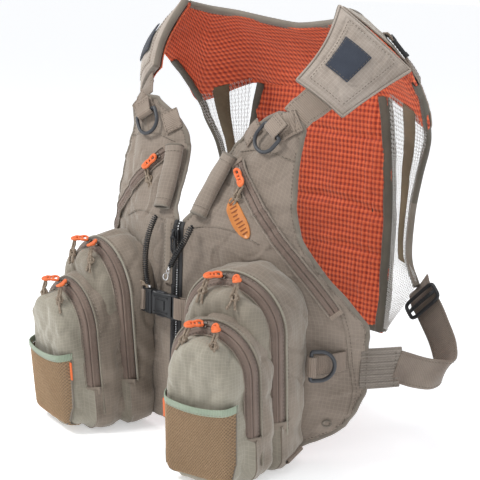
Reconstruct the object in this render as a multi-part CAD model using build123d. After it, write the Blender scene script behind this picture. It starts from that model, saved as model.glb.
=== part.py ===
from build123d import *
import math
import os

import numpy as np

# ---------------------------------------------------------------------------
# Chest-pack fishing vest.  Millimetres, +Z up, the wearer faces -Y and the
# wearer's left side is +X.  Everything is laid out in a working frame whose
# Z = 0 is the underside of the packs, and is then moved so that the origin is
# the middle of the neck, level with the shoulders that carry the vest.
# ---------------------------------------------------------------------------
os.makedirs("parts", exist_ok=True)

ORIGIN = np.array([0.0, 20.0, 480.0])   # neck centre in the working frame
WEB = 38.0            # shoulder and belt webbing width
T_WEB = 1.8           # webbing thickness
T_FAB = 2.4           # lined shell fabric of the front panels
T_GUS = 2.4           # pocket gusset wall, two fabrics and a foam interlining
SPLAY = math.radians(12.0)      # each pack is turned outwards by this angle
PACK_O = np.array([105.0, -147.8, 2.5])  # middle of the large zip's plane, left pack
BIG = dict(hb=62.5, r=60.5, zc=162.0, zb=1.0, rb=16.0)     # large pocket, zip centre line
SML = dict(hb=54.0, r=52.0, zc=129.5, zb=3.0, rb=22.0)     # small pocket, zip centre line
ZIP_END = 60.0        # height at which the pocket zips stop
W_BIG_FACE = 24.0     # large pocket's face, in front of its zip plane
W_SML = 44.0          # small pocket's zip plane
W_SML_FACE = 75.0     # small pocket's face
BAND = 9.0            # half width of a zip band
BAND_SLOPE = 2.6      # the band closes in by this much behind the zip
FRONT_SLOPE = 7.0     # and by this much in front of it
AX_TOP = np.array([117.0, -77.0, 403.0])  # the front swings about this line:
AX_BOT = np.array([229.5, 2.0, 109.0])    # strap seam to belt seam


# ------------------------------------------------------------ solid builders
def solid_of(V, F):
    V = np.asarray(V, float) - ORIGIN
    faces = [Face(Wire.make_polygon([Vector(*V[i]) for i in f], close=True)) for f in F]
    s = Solid(Shell(faces))
    if s.volume < 0:
        s = Solid(Shell([Face(Wire.make_polygon([Vector(*V[i]) for i in f[::-1]], close=True)) for f in F]))
    return s


def normals(G):
    G = np.asarray(G, float)
    n = np.cross(np.gradient(G, axis=0), np.gradient(G, axis=1))
    return n / np.linalg.norm(n, axis=2, keepdims=True)


def sheet(G, t0, t1, n=None):
    """Solid between two offsets of a grid of points, along the grid's normal."""
    G = np.asarray(G, float)
    n = normals(G) if n is None else np.asarray(n, float)
    a, b = G + n * t0, G + n * t1
    r, c = G.shape[:2]
    V = np.concatenate([a.reshape(-1, 3), b.reshape(-1, 3)])
    o, F = r * c, []
    I = lambda i, j: i * c + j

    def q(p, s, t, u):
        F.append((p, s, t)), F.append((p, t, u))
    for i in range(r - 1):
        for j in range(c - 1):
            q(I(i, j), I(i, j + 1), I(i + 1, j + 1), I(i + 1, j))
            q(o + I(i, j), o + I(i + 1, j), o + I(i + 1, j + 1), o + I(i, j + 1))
    for i in range(r - 1):
        q(I(i, 0), I(i + 1, 0), o + I(i + 1, 0), o + I(i, 0))
        q(I(i + 1, c - 1), I(i, c - 1), o + I(i, c - 1), o + I(i + 1, c - 1))
    for j in range(c - 1):
        q(I(0, j + 1), I(0, j), o + I(0, j), o + I(0, j + 1))
        q(I(r - 1, j), I(r - 1, j + 1), o + I(r - 1, j + 1), o + I(r - 1, j))
    return solid_of(V, F)


def loft(rings, caps=None, loop=False):
    """Closed solid through rings of equal count. caps = the two end centres; loop joins last to first."""
    rings = [np.asarray(r, float) for r in rings]
    n = len(rings[0])
    V = np.concatenate(rings)
    F = []
    m = len(rings)
    for k in range(m if loop else m - 1):
        a, b = k * n, ((k + 1) % m) * n
        for i in range(n):
            j = (i + 1) % n
            F.append((a + i, a + j, b + j))
            F.append((a + i, b + j, b + i))
    if not loop:
        V = np.concatenate([V, np.asarray(caps, float)])
        p, q = m * n, m * n + 1
        for i in range(n):
            j = (i + 1) % n
            F.append((p, j, i))
            F.append((q, (m - 1) * n + i, (m - 1) * n + j))
    return solid_of(V, F)


def bar(path, wide, hw, th, up=None):
    """Ribbon of half width hw and thickness th along a path; wide = width directions."""
    path, wide = np.asarray(path, float), np.asarray(wide, float)
    wide = wide / np.linalg.norm(wide, axis=1, keepdims=True)
    G = np.stack([path - wide * hw, path + wide * hw], axis=1)
    n = normals(G)
    if up is not None and (n[0, 0] @ np.asarray(up, float)) < 0:
        n = -n
    return sheet(G, 0.0, th, n) if up is None else sheet(G, 0.0, th, n)


def tube(path, r, sides=8, loop=False):
    """Round tube as rings of short flats along a path."""
    P = np.asarray(path, float)
    T = np.roll(P, -1, 0) - np.roll(P, 1, 0) if loop else np.gradient(P, axis=0)
    T = T / np.linalg.norm(T, axis=1, keepdims=True)
    ref = np.array([0.31, 0.17, 0.93])
    rings = []
    a = np.cross(T[0], ref)
    a /= np.linalg.norm(a)
    for p, t in zip(P, T):
        a = a - t * (a @ t)
        a /= np.linalg.norm(a)
        b = np.cross(t, a)
        rings.append([p + r * (a * math.cos(2 * math.pi * k / sides) + b * math.sin(2 * math.pi * k / sides)) for k in range(sides)])
    return loft(rings, caps=[P[0], P[-1]], loop=loop)


def place(shape, o, x, z):
    """A shape modelled about its own origin, put at o with its X along x and its Z along z."""
    return Plane(origin=Vector(*(np.asarray(o, float) - ORIGIN)), x_dir=Vector(*x), z_dir=Vector(*z)).location * shape


def mir(p):
    return np.asarray(p, float) * np.array([-1.0, 1.0, 1.0])


def both(s):
    return [s, s.mirror(Plane.YZ)]


def save(name, *shapes):
    solids = []
    for s in shapes:
        solids += list(s.solids()) if hasattr(s, "solids") else [s]
    export_step(solids[0] if len(solids) == 1 else Compound(children=solids), f"parts/{name}.step")


# ------------------------------------------------------------ torso surface
def Y(x, z):
    """Front of the chest panels."""
    x = abs(x)
    lean = 81.0 * ((z - 255.0) / 120.0) ** 1.2 / (1.0 + (x / 80.0) ** 2) if z > 255.0 else 0.0
    return -135.0 + 0.00158 * x * x + 1.958e-8 * x ** 4 + lean


def on(x, z, off=0.0):
    """Point on the chest surface, moved outwards by off."""
    h = 1.0
    yx = (Y(x + h, z) - Y(x - h, z)) / (2 * h)
    yz = (Y(x, z + h) - Y(x, z - h)) / (2 * h)
    n = np.array([yx, -1.0, yz])
    n /= np.linalg.norm(n)
    return np.array([x, Y(x, z), z]) + n * off


def n_on(x, z):
    return on(x, z, 1.0) - on(x, z, 0.0)


Z_ROWS = [14, 30, 55, 83, 120, 159, 192, 213, 237, 262, 288, 315, 342, 366, 381, 394]
X_IN = {14: 4, 262: 4, 275: 15, 300: 20, 315: 23, 340: 31, 357: 42, 375: 62, 388: 85, 394: 97}
X_OUT = {14: 150, 30: 180, 42: 191, 55: 197, 72: 202, 83: 205, 159: 204, 192: 186, 213: 171, 237: 157, 259: 145,
         292: 136, 323: 133, 357: 131, 381: 133, 388: 122, 394: 113}


def interp(tab, z):
    k = sorted(tab)
    return float(np.interp(z, k, [tab[i] for i in k]))


def panel_grid(cols=9):
    return [[on(interp(X_IN, z) + (interp(X_OUT, z) - interp(X_IN, z)) * t, z)
             for t in np.linspace(0, 1, cols)] for z in Z_ROWS]


# ------------------------------------------------------------ pack frame
U = np.array([math.cos(SPLAY), math.sin(SPLAY), 0.0])
W0 = np.array([math.sin(SPLAY), -math.cos(SPLAY), 0.0])
TILT = math.radians(5.0)                     # the packs lean forward at the top
W = W0 * math.cos(TILT) - np.array([0.0, 0.0, math.sin(TILT)])
V = W0 * math.sin(TILT) + np.array([0.0, 0.0, math.cos(TILT)])


def pk(u, w, z):
    return PACK_O + u * U + w * W + z * V


def tomb(d, grow=0.0, arc=6):
    """Tombstone outline as (u, z), bottom middle first, then round by +u and the top."""
    hb, r, zc, zb, rb = d["hb"] + grow, d["r"] + grow, d["zc"], d["zb"] - grow * 0.5, d["rb"]
    half = [(hb - rb, zb)]
    half += [(hb - rb + rb * math.sin(a), zb + rb - rb * math.cos(a)) for a in np.radians([30, 60])]
    half += [(hb, zb + rb), (hb + (r - hb) * 0.35, ZIP_END - 2.0), (hb + (r - hb) * 0.4, ZIP_END), (hb + (r - hb) * 0.7, (ZIP_END + zc) / 2)]
    half += [(r * math.cos(a), zc + r * math.sin(a)) for a in np.radians(np.linspace(0, 90, arc + 1))[:-1]]
    return [(0.0, zb)] + half + [(0.0, zc + r)] + [(-u, z) for u, z in half[::-1]]


def back_w(u, z, gap):
    """Depth at which a point of the gusset meets the chest panel."""
    w = -35.0
    for _ in range(30):
        p = pk(u, w, z)
        w -= (Y(p[0], p[2]) - gap - p[1]) * 0.8
    return w


def ring(outl, w):
    return [pk(u, w if not callable(w) else w(u, z), z) for u, z in outl]


def half_band(d, w0, side):
    """One tape half of a pocket zip: a strip that follows the arch from one zip end to the other."""
    k = [i for i, (u, z) in enumerate(tomb(d)) if z >= ZIP_END - 0.01]
    a, b = (0.2, BAND - 0.2) if side > 0 else (-0.2, -BAND + 0.2)
    ta = tomb(d, 0.0)
    tb = tomb(d, -FRONT_SLOPE if side > 0 else BAND_SLOPE)
    G = [[pk(*((ta[i][0], w0 + a, ta[i][1]))) for i in k], [pk(*((tb[i][0], w0 + b, tb[i][1]))) for i in k]]
    n = normals(np.array(G))
    c = np.array([pk(0, w0, d["zc"])])
    if ((G[0][5] - c[0]) @ n[0][5]) < 0:
        n = -n
    return sheet(np.array(G), -0.6, 1.2, n)


def dome(d):
    """Outer face of a pocket in front of its zip: how far in from the outline, and at what depth."""
    w0, w1 = (0.0, W_BIG_FACE) if d is BIG else (W_SML, W_SML_FACE)
    h = w1 - w0 - BAND
    return [(FRONT_SLOPE, w0 + BAND), (FRONT_SLOPE + 4.0, w0 + BAND + h * 0.5), (FRONT_SLOPE + 11.0, w1 - h * 0.12)], w1


def tray_w(d, u, z):
    """Depth of that face at a point inside the outline."""
    o = np.array(tomb(d))
    q = np.concatenate([o, o[:1]])
    best = 1e9
    for a_, b_ in zip(q[:-1], q[1:]):
        e = b_ - a_
        t = min(1.0, max(0.0, ((u - a_[0]) * e[0] + (z - a_[1]) * e[1]) / (e @ e)))
        best = min(best, math.hypot(u - a_[0] - t * e[0], z - a_[1] - t * e[1]))
    pr, w1 = dome(d)
    return float(np.interp(best, [k for k, _ in pr] + [40.0], [w for _, w in pr] + [w1]))


def front_tray(d, w0, w1, t=T_GUS, crown=0.0):
    """The half of a pocket in front of its zip: a domed face, open at the back."""
    pr, w1 = dome(d)
    rim = lambda u, z: w0 + 0.2 if z < ZIP_END - 0.01 else w0 + BAND
    out = [ring(tomb(d, -k), w) for k, w in pr]
    inn = [ring(tomb(d, -k - t), w - t * f) for (k, w), f in zip(pr, (0.0, 0.35, 0.85))]
    foot, footi = tomb(d, -FRONT_SLOPE + 0.0), tomb(d, -FRONT_SLOPE - t)
    out[0], inn[0] = ring(foot, rim), ring(footi, rim)
    zc = d["zc"] - 30
    return loft(out[::-1] + inn, caps=[pk(0, w1 + crown, zc), pk(0, w1 - t + crown, zc)])


def gusset(d, w_front, w_back, t=T_GUS):
    """Wall of a pocket behind its zip: a ring, open in front, sewn down behind."""
    a, ai = tomb(d, BAND_SLOPE), tomb(d, BAND_SLOPE - t)
    rim = lambda u, z: (w_front + BAND - 0.2) if z < ZIP_END - 0.01 else w_front
    return loft([ring(a, rim), ring(a, w_back), ring(ai, w_back), ring(ai, rim)], loop=True)


# ------------------------------------------------------------ left front, then mirrored
G = panel_grid()
NP = -np.abs(np.sign(normals(G)[:, :, 1:2])) * 0 + normals(G)
if NP[3][3][1] > 0:
    NP = -NP
parts = {}
parts["front_panel"] = [sheet(G, -T_FAB, 0.0, NP)]

# chest pocket zip follows one circle laid on the panel from the neck edge to the pack's outer side
ZA, ZM, ZB = on(56, 334, 2.2), on(121, 261, 2.2), on(178, 174, 2.2)


def circle3(a, b, c):
    ab, ac = b - a, c - a
    n = np.cross(ab, ac)
    o = a + (np.cross(n, ab) * (ac @ ac) + np.cross(ac, n) * (ab @ ab)) / (2 * (n @ n))
    return o, n / np.linalg.norm(n)


ZIP_C, ZIP_N = circle3(ZA, ZM, ZB)
ZIP_R = float(np.linalg.norm(ZA - ZIP_C))


def zip_at(deg):
    """Point and travel direction on the chest zip, deg degrees from its upper end."""
    r = ZA - ZIP_C
    a = math.radians(deg)
    p = r * math.cos(a) + np.cross(ZIP_N, r) * math.sin(a)
    t = np.cross(ZIP_N, p)
    return ZIP_C + p, t / np.linalg.norm(t)


ZIP_SPAN = math.degrees(math.acos(np.clip((ZA - ZIP_C) @ (ZB - ZIP_C) / ZIP_R ** 2, -1, 1)))
if np.linalg.norm(zip_at(ZIP_SPAN)[0] - ZB) > 1.0:
    ZIP_SPAN = 360 - ZIP_SPAN
DEV = []
for a in np.linspace(0, ZIP_SPAN, 9):
    p, t = zip_at(a)
    DEV.append(round(float((p - on(p[0], p[2], 0.0)) @ n_on(p[0], p[2])), 2))
print("height of the zip's circle over the panel", DEV)
print("chest zip: radius", round(ZIP_R, 2), "span deg", round(ZIP_SPAN, 2), "length", round(ZIP_R * math.radians(ZIP_SPAN), 1))
path, wide = [], []
for a in np.linspace(0, ZIP_SPAN, 13):
    p, t = zip_at(a)
    # keep the tape just clear of the panel
    s = p - on(p[0], p[2], 0.0)
    nn = n_on(p[0], p[2])
    p = p + nn * max(0.0, 0.35 - s @ nn)
    path.append(p)
    wide.append(np.cross(nn, t))
ws = np.array(wide)
Gz = np.stack([np.array(path) - ws * 7.0, np.array(path), np.array(path) + ws * 7.0], axis=1)
Gz = np.array([[on(q[0], q[2], 1.0) for q in row] for row in Gz])
nz = normals(Gz)
nz = nz if nz[5][1][1] < 0 else -nz
parts["zip_tapes"] = [sheet(Gz, 0.0, 1.2, nz), half_band(BIG, 0.0, -1)]

# fabric tunnel along the neck edge that the coiled lanyard comes out of
TUN = [on(x, z, 7.2) for x, z in ((45, 338), (40, 322), (35, 303), (31, 285), (29, 272))]
Tt = np.gradient(np.array(TUN), axis=0)
rings_o, rings_i = [], []
for p, t in zip(TUN, Tt):
    t = t / np.linalg.norm(t)
    n = n_on(p[0], p[2])
    n = n - t * (n @ t)
    n /= np.linalg.norm(n)
    s = np.cross(n, t)
    rings_o.append([p + s * 11.0 * math.cos(k) + n * 6.6 * math.sin(k) for k in np.linspace(0, 2 * math.pi, 13)[:-1]])
    rings_i.append([p + s * 9.4 * math.cos(k) + n * 5.2 * math.sin(k) for k in np.linspace(0, 2 * math.pi, 13)[:-1]])
parts["lanyard_tunnel"] = [loft(rings_o + rings_i[::-1], loop=True)]

# webbing pieces sewn on the front: neck patch, ring tab, side ring tab, strap anchor, ribbed belt tab
def pad_on(x0, z0, dx, dz, hw, hl, t, off, rows=2):
    """Rectangular webbing laid on the chest surface; (dx, dz) is its long direction."""
    d = np.array([dx, dz]) / math.hypot(dx, dz)
    e = np.array([d[1], -d[0]])
    Gp = [[on(x0 + d[0] * a + e[0] * b, z0 + d[1] * a + e[1] * b, off) for b in np.linspace(-hw, hw, 4)] for a in np.linspace(-hl, hl, 3 + rows)]
    nn = normals(Gp)
    nn = nn if nn[1][1][1] < 0 else -nn
    return sheet(Gp, 0.0, t, nn)


SIDE_Z = 120.0
tabg = [[np.array([109.0, -147.0, z]) + (66.9 + k) * U + w * W0 for w in (-41.0, -30.0)] for z in (SIDE_Z - 11.0, SIDE_Z + 11.0) for k in (0.0,)]
tabn = np.array([[U, U], [U, U]])
parts["web_tabs"] = [
    pad_on(64, 368, 10, 14, 9, 12.5, 2.6, 0.7),
    pad_on(113.0, 382.0, 22, 15.5, 13, 14.0, 2.6, 0.7),
    sheet(tabg, 0.0, 2.6, tabn),
]
# D-rings: a straight bar inside the folded tab and a round bow
def d_path(c, ux, uy, wd, ht, n=9):
    """Closed D path: bar along ux through c, bow towards uy."""
    c, ux, uy = (np.asarray(v, float) for v in (c, ux, uy))
    r = wd / 2
    pts = [c + ux * r * s for s in (-1.0, -0.33, 0.33, 1.0)]
    st = ht - r
    pts += [c + ux * r + uy * st * 0.6]
    pts += [c + ux * r * math.cos(a) + uy * (st + r * math.sin(a)) for a in np.linspace(0, math.pi, n)]
    pts += [c - ux * r + uy * st * 0.6]
    return pts


def unit(v):
    v = np.asarray(v, float)
    return v / np.linalg.norm(v)


RING_R = 2.3
cr = on(99.5, 373.5, 6.4)                         # bar of the chest ring, in front of its tab
cn = n_on(99.5, 373.5)
cx = unit(on(110.5, 366, 6.4) - on(88.5, 381, 6.4))
cy = unit(np.cross(cn, cx))
cy = cy if cy[2] < 0 else -cy
CH_RING_BAR, CH_RING_AX = cr, cx
parts["chest_ring"] = [tube(d_path(cr, cx, cy, 30.0, 27.0), RING_R, 8, loop=True)]
sr = np.array([172.7305, -97.1606, SIDE_Z])
sx = np.array([0.0, 0.0, 1.0])
sy = unit(U * 0.80 - W0 * 0.60)
sn = unit(U * 0.60 + W0 * 0.80)
SD_RING_BAR, SD_RING_AX = sr, sx
parts["side_ring"] = [tube(d_path(sr, sx, sy, 34.0, 27.0), RING_R + 0.2, 8, loop=True)]

# ribbed elastic tab from the wing to the belt webbing
tabG = [[on(x, z, 0.0) for x in np.linspace(206.0, 227.5, 4)] for z in (85.0, 109.0, 133.0)]
nt = normals(tabG)
nt = nt if nt[1][1][0] > 0 or nt[1][1][1] < 0 else -nt
parts["belt_tab"] = [sheet(tabG, -3.0, 0.4, nt)]

# pocket walls
gap = 0.4
parts["large_gusset"] = [gusset(BIG, -BAND, lambda u, z: back_w(u, z, gap))]
parts["large_face"] = [front_tray(BIG, 0.0, W_BIG_FACE)]
parts["large_face_zip"] = [half_band(BIG, 0.0, 1)]
parts["small_gusset"] = [gusset(SML, W_SML - BAND, lambda u, z: max(tray_w(BIG, u, z), BAND + 0.4) + 1.7)]
parts["small_gusset_zip"] = [half_band(SML, W_SML, -1)]
parts["small_face"] = [front_tray(SML, W_SML, W_SML_FACE)]
parts["small_face_zip"] = [half_band(SML, W_SML, 1)]
# mesh pouch on the small face, with its elastic hem standing a little open
rows = []
for z, bulge, hw in ((12.0, 1.0, 30.0), (22.0, 2.0, 38.0), (45.0, 4.5, 42.0), (75.0, 6.5, 43.0), (102.0, 8.0, 43.5), (113.0, 8.5, 43.5)):
    rows.append([pk(u * hw, max(tray_w(SML, u * hw, z), tray_w(SML, u * hw * 0.95, z + 4.0)) + (4.6 if z < 40.0 else 3.0) + bulge * (1 - u * u) ** 0.8, z) for u in np.linspace(-1, 1, 9)])
nm = normals(rows)
nm = nm if (nm[2][3] @ W) > 0 else -nm
parts["mesh_pouch"] = [sheet(rows, 0.0, 1.2, nm)]

# zip sliders: a body riding on the outside of the band, a bridge and a moulded pull
def slider_on_arch(d, w0, deg):
    a = math.radians(deg)
    rho = math.cos(a) * V + math.sin(a) * U
    tau = math.cos(a) * U - math.sin(a) * V
    c = pk(0, w0, d["zc"]) + rho * (d["r"] + 1.2 + 2.2)
    s = []
    body = Box(11.0, 9.0, 2.6, align=(Align.CENTER, Align.CENTER, Align.MIN))
    body = body + Pos(0, 0, 2.6) * Box(7.0, 2.4, 2.4, align=(Align.CENTER, Align.CENTER, Align.MIN))
    s.append(place(body, c, tau, rho))
    pull = Pos(0, 0, 0) * (extrude(SlotOverall(22.0, 8.0), 2.6) - extrude(SlotOverall(15.0, 3.2), 2.6))
    # the pull lies forward over the edge and hangs in front of the face
    wf = (W_BIG_FACE + 2.2) if d is BIG else (W_SML_FACE + 2.2)
    neck = place(Box(3.2, wf - w0 + 1.0, 2.2, align=(Align.CENTER, Align.MIN, Align.MIN)), c + rho * 2.7 + W * 0.0, tau, rho)
    q = c - rho * (11.0 - 5.6) + W * (wf - w0 + 0.8)
    s.append(neck if (neck.center().Y < (c - ORIGIN)[1]) else place(Box(3.2, wf - w0 + 1.0, 2.2, align=(Align.CENTER, Align.MAX, Align.MIN)), c + rho * 2.7, tau, rho))
    s.append(place(pull, q, rho, W))
    out = s[0]
    for k in s[1:]:
        out = out + k
    return out


SL_DEG = 8.0
for nm_, d, w0 in (("large", BIG, 0.0), ("small", SML, W_SML)):
    parts[f"{nm_}_slider_inner"] = [slider_on_arch(d, w0, -SL_DEG)]
    parts[f"{nm_}_slider_outer"] = [slider_on_arch(d, w0, SL_DEG)]
p, t = zip_at(4.0)
n = n_on(p[0], p[2])
n = unit(n - t * (n @ t))
body = Box(11.0, 9.0, 2.6, align=(Align.CENTER, Align.CENTER, Align.MIN)) + Pos(0, 0, 2.6) * Box(7.0, 2.4, 2.4, align=(Align.CENTER, Align.CENTER, Align.MIN))
pull = Pos(13.0, 0, 2.8) * (extrude(SlotOverall(24.0, 8.0), 2.6) - extrude(SlotOverall(16.0, 3.2), 2.6))
CS_OFF = 3.5
parts["chest_slider"] = [place(body + pull, p + n * CS_OFF, t, n)]

for side in ("left", "right"):
    for k, v in parts.items():
        shapes = v if side == "left" else [s.mirror(Plane.YZ) for s in v]
        save(f"{side}_{k}", *shapes)

# ------------------------------------------------------------ centre zip and buckle
fz = []
for sgn in (1, -1):
    Gc = [[on(sgn * x, z, 0.4) for x in (0.3, 4.2, 8.2)] for z in (150, 180, 210, 240, 262)]
    nn = normals(Gc)
    nn = nn if nn[1][1][1] < 0 else -nn
    fz.append(sheet(Gc, 0.0, 2.2, nn))
save("left_centre_zip", fz[0])
save("right_centre_zip", fz[1])
zs = Box(10.5, 13.0, 3.6, align=(Align.CENTER, Align.CENTER, Align.MIN)) + Pos(0, 0, 3.6) * Box(2.6, 9.0, 2.8, align=(Align.CENTER, Align.CENTER, Align.MIN))
zs = zs + Pos(0, -12.5, 4.0) * (extrude(SlotOverall(22.0, 7.0, rotation=90), 2.2) - extrude(SlotOverall(14.0, 3.0, rotation=90), 2.2))
save("centre_zip_slider", place(zs, on(0, 247, 2.9), (1, 0, 0), (0, -1, 0)))

# side-release buckle, 25 mm webbing; the male half is on the wearer's right
BK = np.array([-22.0, -151.0, 164.0])     # plane where the halves meet
bx, bz = np.array([1.0, 0.0, 0.0]), np.array([0.0, -1.0, 0.0])
BH, BT = 30.0, 10.0
female = Box(30.0, BH, BT, align=(Align.MIN, Align.CENTER, Align.CENTER))
female = female - Pos(-0.1, 0, 0) * Box(22.2, BH - 6.0, BT - 4.0, align=(Align.MIN, Align.CENTER, Align.CENTER))
female = female + Pos(30.0, 0, 0) * (Box(9.0, BH, 4.0, align=(Align.MIN, Align.CENTER, Align.CENTER)) - Pos(1.5, 0, 0) * Box(4.5, 26.0, 5.0, align=(Align.MIN, Align.CENTER, Align.CENTER)))
save("buckle_socket", place(female, BK, bx, bz))
male = Pos(-0.3, 0, 0) * Box(9.0, BH, BT, align=(Align.MAX, Align.CENTER, Align.CENTER))
for s_ in (-1, 0, 1):
    male = male + Pos(-0.4, s_ * 8.6, 0) * Box(19.0, 3.6, BT - 5.2, align=(Align.MIN, Align.CENTER, Align.CENTER))
male = male + Pos(-9.3, 0, 0) * (Box(9.0, BH, 4.0, align=(Align.MAX, Align.CENTER, Align.CENTER)) - Pos(-1.5, 0, 0) * Box(4.5, 26.0, 5.0, align=(Align.MAX, Align.CENTER, Align.CENTER)))
save("buckle_plug", place(male, BK, bx, bz))

# ------------------------------------------------------------ shoulder pads and straps
PA, PB = np.array([110.0, -66.0, 431.0]), np.array([157.0, -41.0, 393.5])
PD, PC = np.array([119.0, -5.0, 512.0]), np.array([196.0, 30.0, 445.0])
PN = unit(np.cross(PD - PA, PC - PB))
PN = PN if PN[1] < 0 else -PN


def pad_grid(nr=6, nc=5, s0=0.0, s1=1.0, t0=0.0, t1=1.0, bulge=17.0):
    """Outer face of the left shoulder pad: s from the strap end to the back, t from the neck outwards."""
    out = []
    for s in np.linspace(s0, s1, nr):
        row = []
        for t in np.linspace(t0, t1, nc):
            p = (PA * (1 - t) + PB * t) * (1 - s) + (PD * (1 - t) + PC * t) * s
            neck = unit(PA + PD - PB - PC)
            p = p + neck * (-7.0) * math.sin(math.pi * s) * (1 - t)
            p = p + PN * bulge * math.sin(math.pi * (0.12 + 0.76 * s)) * (0.55 + 0.45 * math.sin(math.pi * t))
            row.append(p)
        out.append(row)
    return np.array(out)


PG = pad_grid()
PGn = normals(PG)
PGn = PGn if (PGn[2][2] @ PN) > 0 else -PGn
PF = pad_grid(5, 4, 0.05, 0.95, 0.06, 0.94)
PFn = normals(PF)
PFn = PFn if (PFn[2][2] @ PN) > 0 else -PFn
save("shoulder_covers", *both(sheet(PG, -2.0, 0.0, PGn)))
pad_foam = both(sheet(PF, -10.0, -3.4, PFn))
pad_lining = both(sheet(PG, -13.4, -11.6, PGn))
# square hook patch, flat, on the pad's face
q = pad_grid(2, 2, 0.28, 0.72, 0.22, 0.62)
pc = q.reshape(-1, 3).mean(0)
pn = PN
px = unit((q[1][0] + q[1][1] - q[0][0] - q[0][1]))
px = unit(px - pn * (px @ pn))
HP = 34.0
pc = pc + pn * 3.2
print("hook patch centre", np.round((pc + pn * 1.6 - ORIGIN) / 1000, 5), "normal", np.round(pn, 5))
save("hook_patches", *both(place(Box(HP, HP, 1.6, align=(Align.CENTER, Align.CENTER, Align.MIN)), pc, px, pn)))

STRAP = [np.array([123.6, -70.6, 398.8]), np.array([126.5, -66.2, 402.0]), np.array([130.0, -60.5, 407.0])]
SW = [np.array([33.0, 4.0, -20.0]), np.array([34.0, 9.0, -23.0]), np.array([36.0, 17.0, -28.0])]
st = bar(STRAP, SW, WEB / 2 - 1.5, T_WEB)

# ------------------------------------------------------------ back
def bez(a, b, c, t):
    a, b, c = (np.asarray(v, float) for v in (a, b, c))
    return a * (1 - t) ** 2 + 2 * b * t * (1 - t) + c * t * t


YK = [  # columns of the yoke, collar to lower edge: top, control, bottom
    ((120.5, -4.0, 507.0), (165.0, 12.0, 482.0), (195.0, 31.5, 442.5)),
    ((121.5, 18.0, 503.0), (166.0, 52.0, 470.0), (191.0, 76.0, 400.0)),
    ((113.0, 40.0, 499.0), (150.0, 80.0, 455.0), (183.0, 97.5, 371.0)),
    ((88.0, 58.0, 495.0), (103.0, 104.0, 458.0), (110.0, 123.0, 406.0)),
    ((46.0, 69.0, 488.0), (52.0, 114.0, 456.0), (52.0, 128.5, 407.0)),
    ((0.0, 73.0, 483.0), (0.0, 116.0, 455.0), (0.0, 129.5, 407.0)),
]
cols = [[bez(a, b, c, t) for t in np.linspace(0, 1, 6)] for a, b, c in YK]
cols = cols + [[mir(p) for p in c] for c in cols[-2::-1]]
YG = np.array(cols)
YN = normals(YG)
YN = YN if YN[5][3][1] > 0 else -YN          # outwards, away from the wearer
yoke_mesh = sheet(YG, 0.0, 3.0, YN)
yoke_shell = sheet(YG, 3.3, 5.3, YN)

BP = [(403.5, 104.0), (372.0, 110.0), (330.0, 116.0), (290.0, 120.0), (248.0, 123.0), (200.0, 124.0), (150.0, 124.0), (97.0, 123.0)]
BG = [[np.array([hw * s, 129.5 - 2.5 * s * s - (2.5 if z < 130 else 0.0), z]) for s in np.linspace(-1, 1, 7)] for z, hw in BP]
BN = normals(BG)
BN = BN if BN[3][3][1] > 0 else -BN
back_mesh = sheet(BG, 0.0, 3.0, BN)
back_foam = sheet([[p * np.array([0.95, 1, 1]) for p in r] for r in BG[::1]], 3.3, 9.8, BN)
back_shell = sheet(BG, 10.1, 12.1, BN)
save("mesh_linings", yoke_mesh, back_mesh, *pad_lining)
save("foam_cores", back_foam, *pad_foam)
save("back_shells", yoke_shell, back_shell)

EDGE = [(184.0, 97.5, 368.5), (178.5, 106.0, 345.0), (165.5, 117.0, 310.0), (156.0, 122.0, 260.0), (158.0, 119.0, 205.0), (178.0, 108.0, 176.0)]
# side netting between the pad and the outer edge
inner = [(112.5, 124.0, 368.5), (116.5, 126.0, 345.0), (121.0, 127.0, 310.0), (125.0, 127.0, 260.0), (126.5, 126.5, 205.0), (126.5, 126.5, 176.0), (126.0, 124.0, 104.0)]
EDGE2 = EDGE + [(132.0, 122.0, 104.0)]
NG = np.array([[np.array(a) * (1 - t) + np.array(b) * t for t in (0.0, 0.5, 1.0)] for a, b in zip(inner, EDGE2)])
NN = normals(NG)
NN = NN if NN[2][1][1] > 0 else -NN
# folded fabric bands that run down over the netting
SG = np.array([[np.array(a) * (1 - t) + np.array(b) * t for t in (0.42, 0.66)] for a, b in zip(inner[:5], EDGE2[:5])])
SN = normals(SG)
SN = SN if SN[2][0][1] > 0 else -SN
save("side_netting", *both(sheet(NG, 0.0, 0.8, NN)), *both(sheet(SG, -1.8, -0.3, SN)))


def edging(path, out, hw=3.6, t=4.6):
    """Bound edge: a rounded strip along a path, standing just outside the cloth's edge."""
    path, out = np.asarray(path, float), np.asarray(out, float)
    T = np.gradient(path, axis=0)
    rings_ = []
    for p_, t_, o_ in zip(path, T, out):
        t_ = t_ / np.linalg.norm(t_)
        o_ = unit(o_ - t_ * (o_ @ t_))
        b_ = np.cross(t_, o_)
        c_ = p_ + o_ * (hw + 0.4) + 0
        rings_.append([c_ + o_ * hw * math.cos(k) * 1.0 + b_ * t / 2 * math.sin(k) for k in np.linspace(0, 2 * math.pi, 9)[:-1]])
    return loft(rings_, caps=[np.mean(rings_[0], axis=0), np.mean(rings_[-1], axis=0)])


yk = np.array([YG[i][0] + YN[i][0] * 2.6 for i in range(1, 10)])
co = [unit(YG[i][0] - YG[i][1]) for i in range(1, 10)]
arm = [YG[1][-1] + YN[1][-1] * 2.6] + [np.array([184.0, 97.5, 368.5]) + np.array([0.5, 0.8, 0])] + [np.array(e) + np.array([0, 0.4, 0]) for e in EDGE[1:]]
ao = [np.array([0.8, -0.6, 0.0])] * len(arm)
save("edge_bindings", edging(yk, co), *both(edging(arm, ao)))

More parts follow.
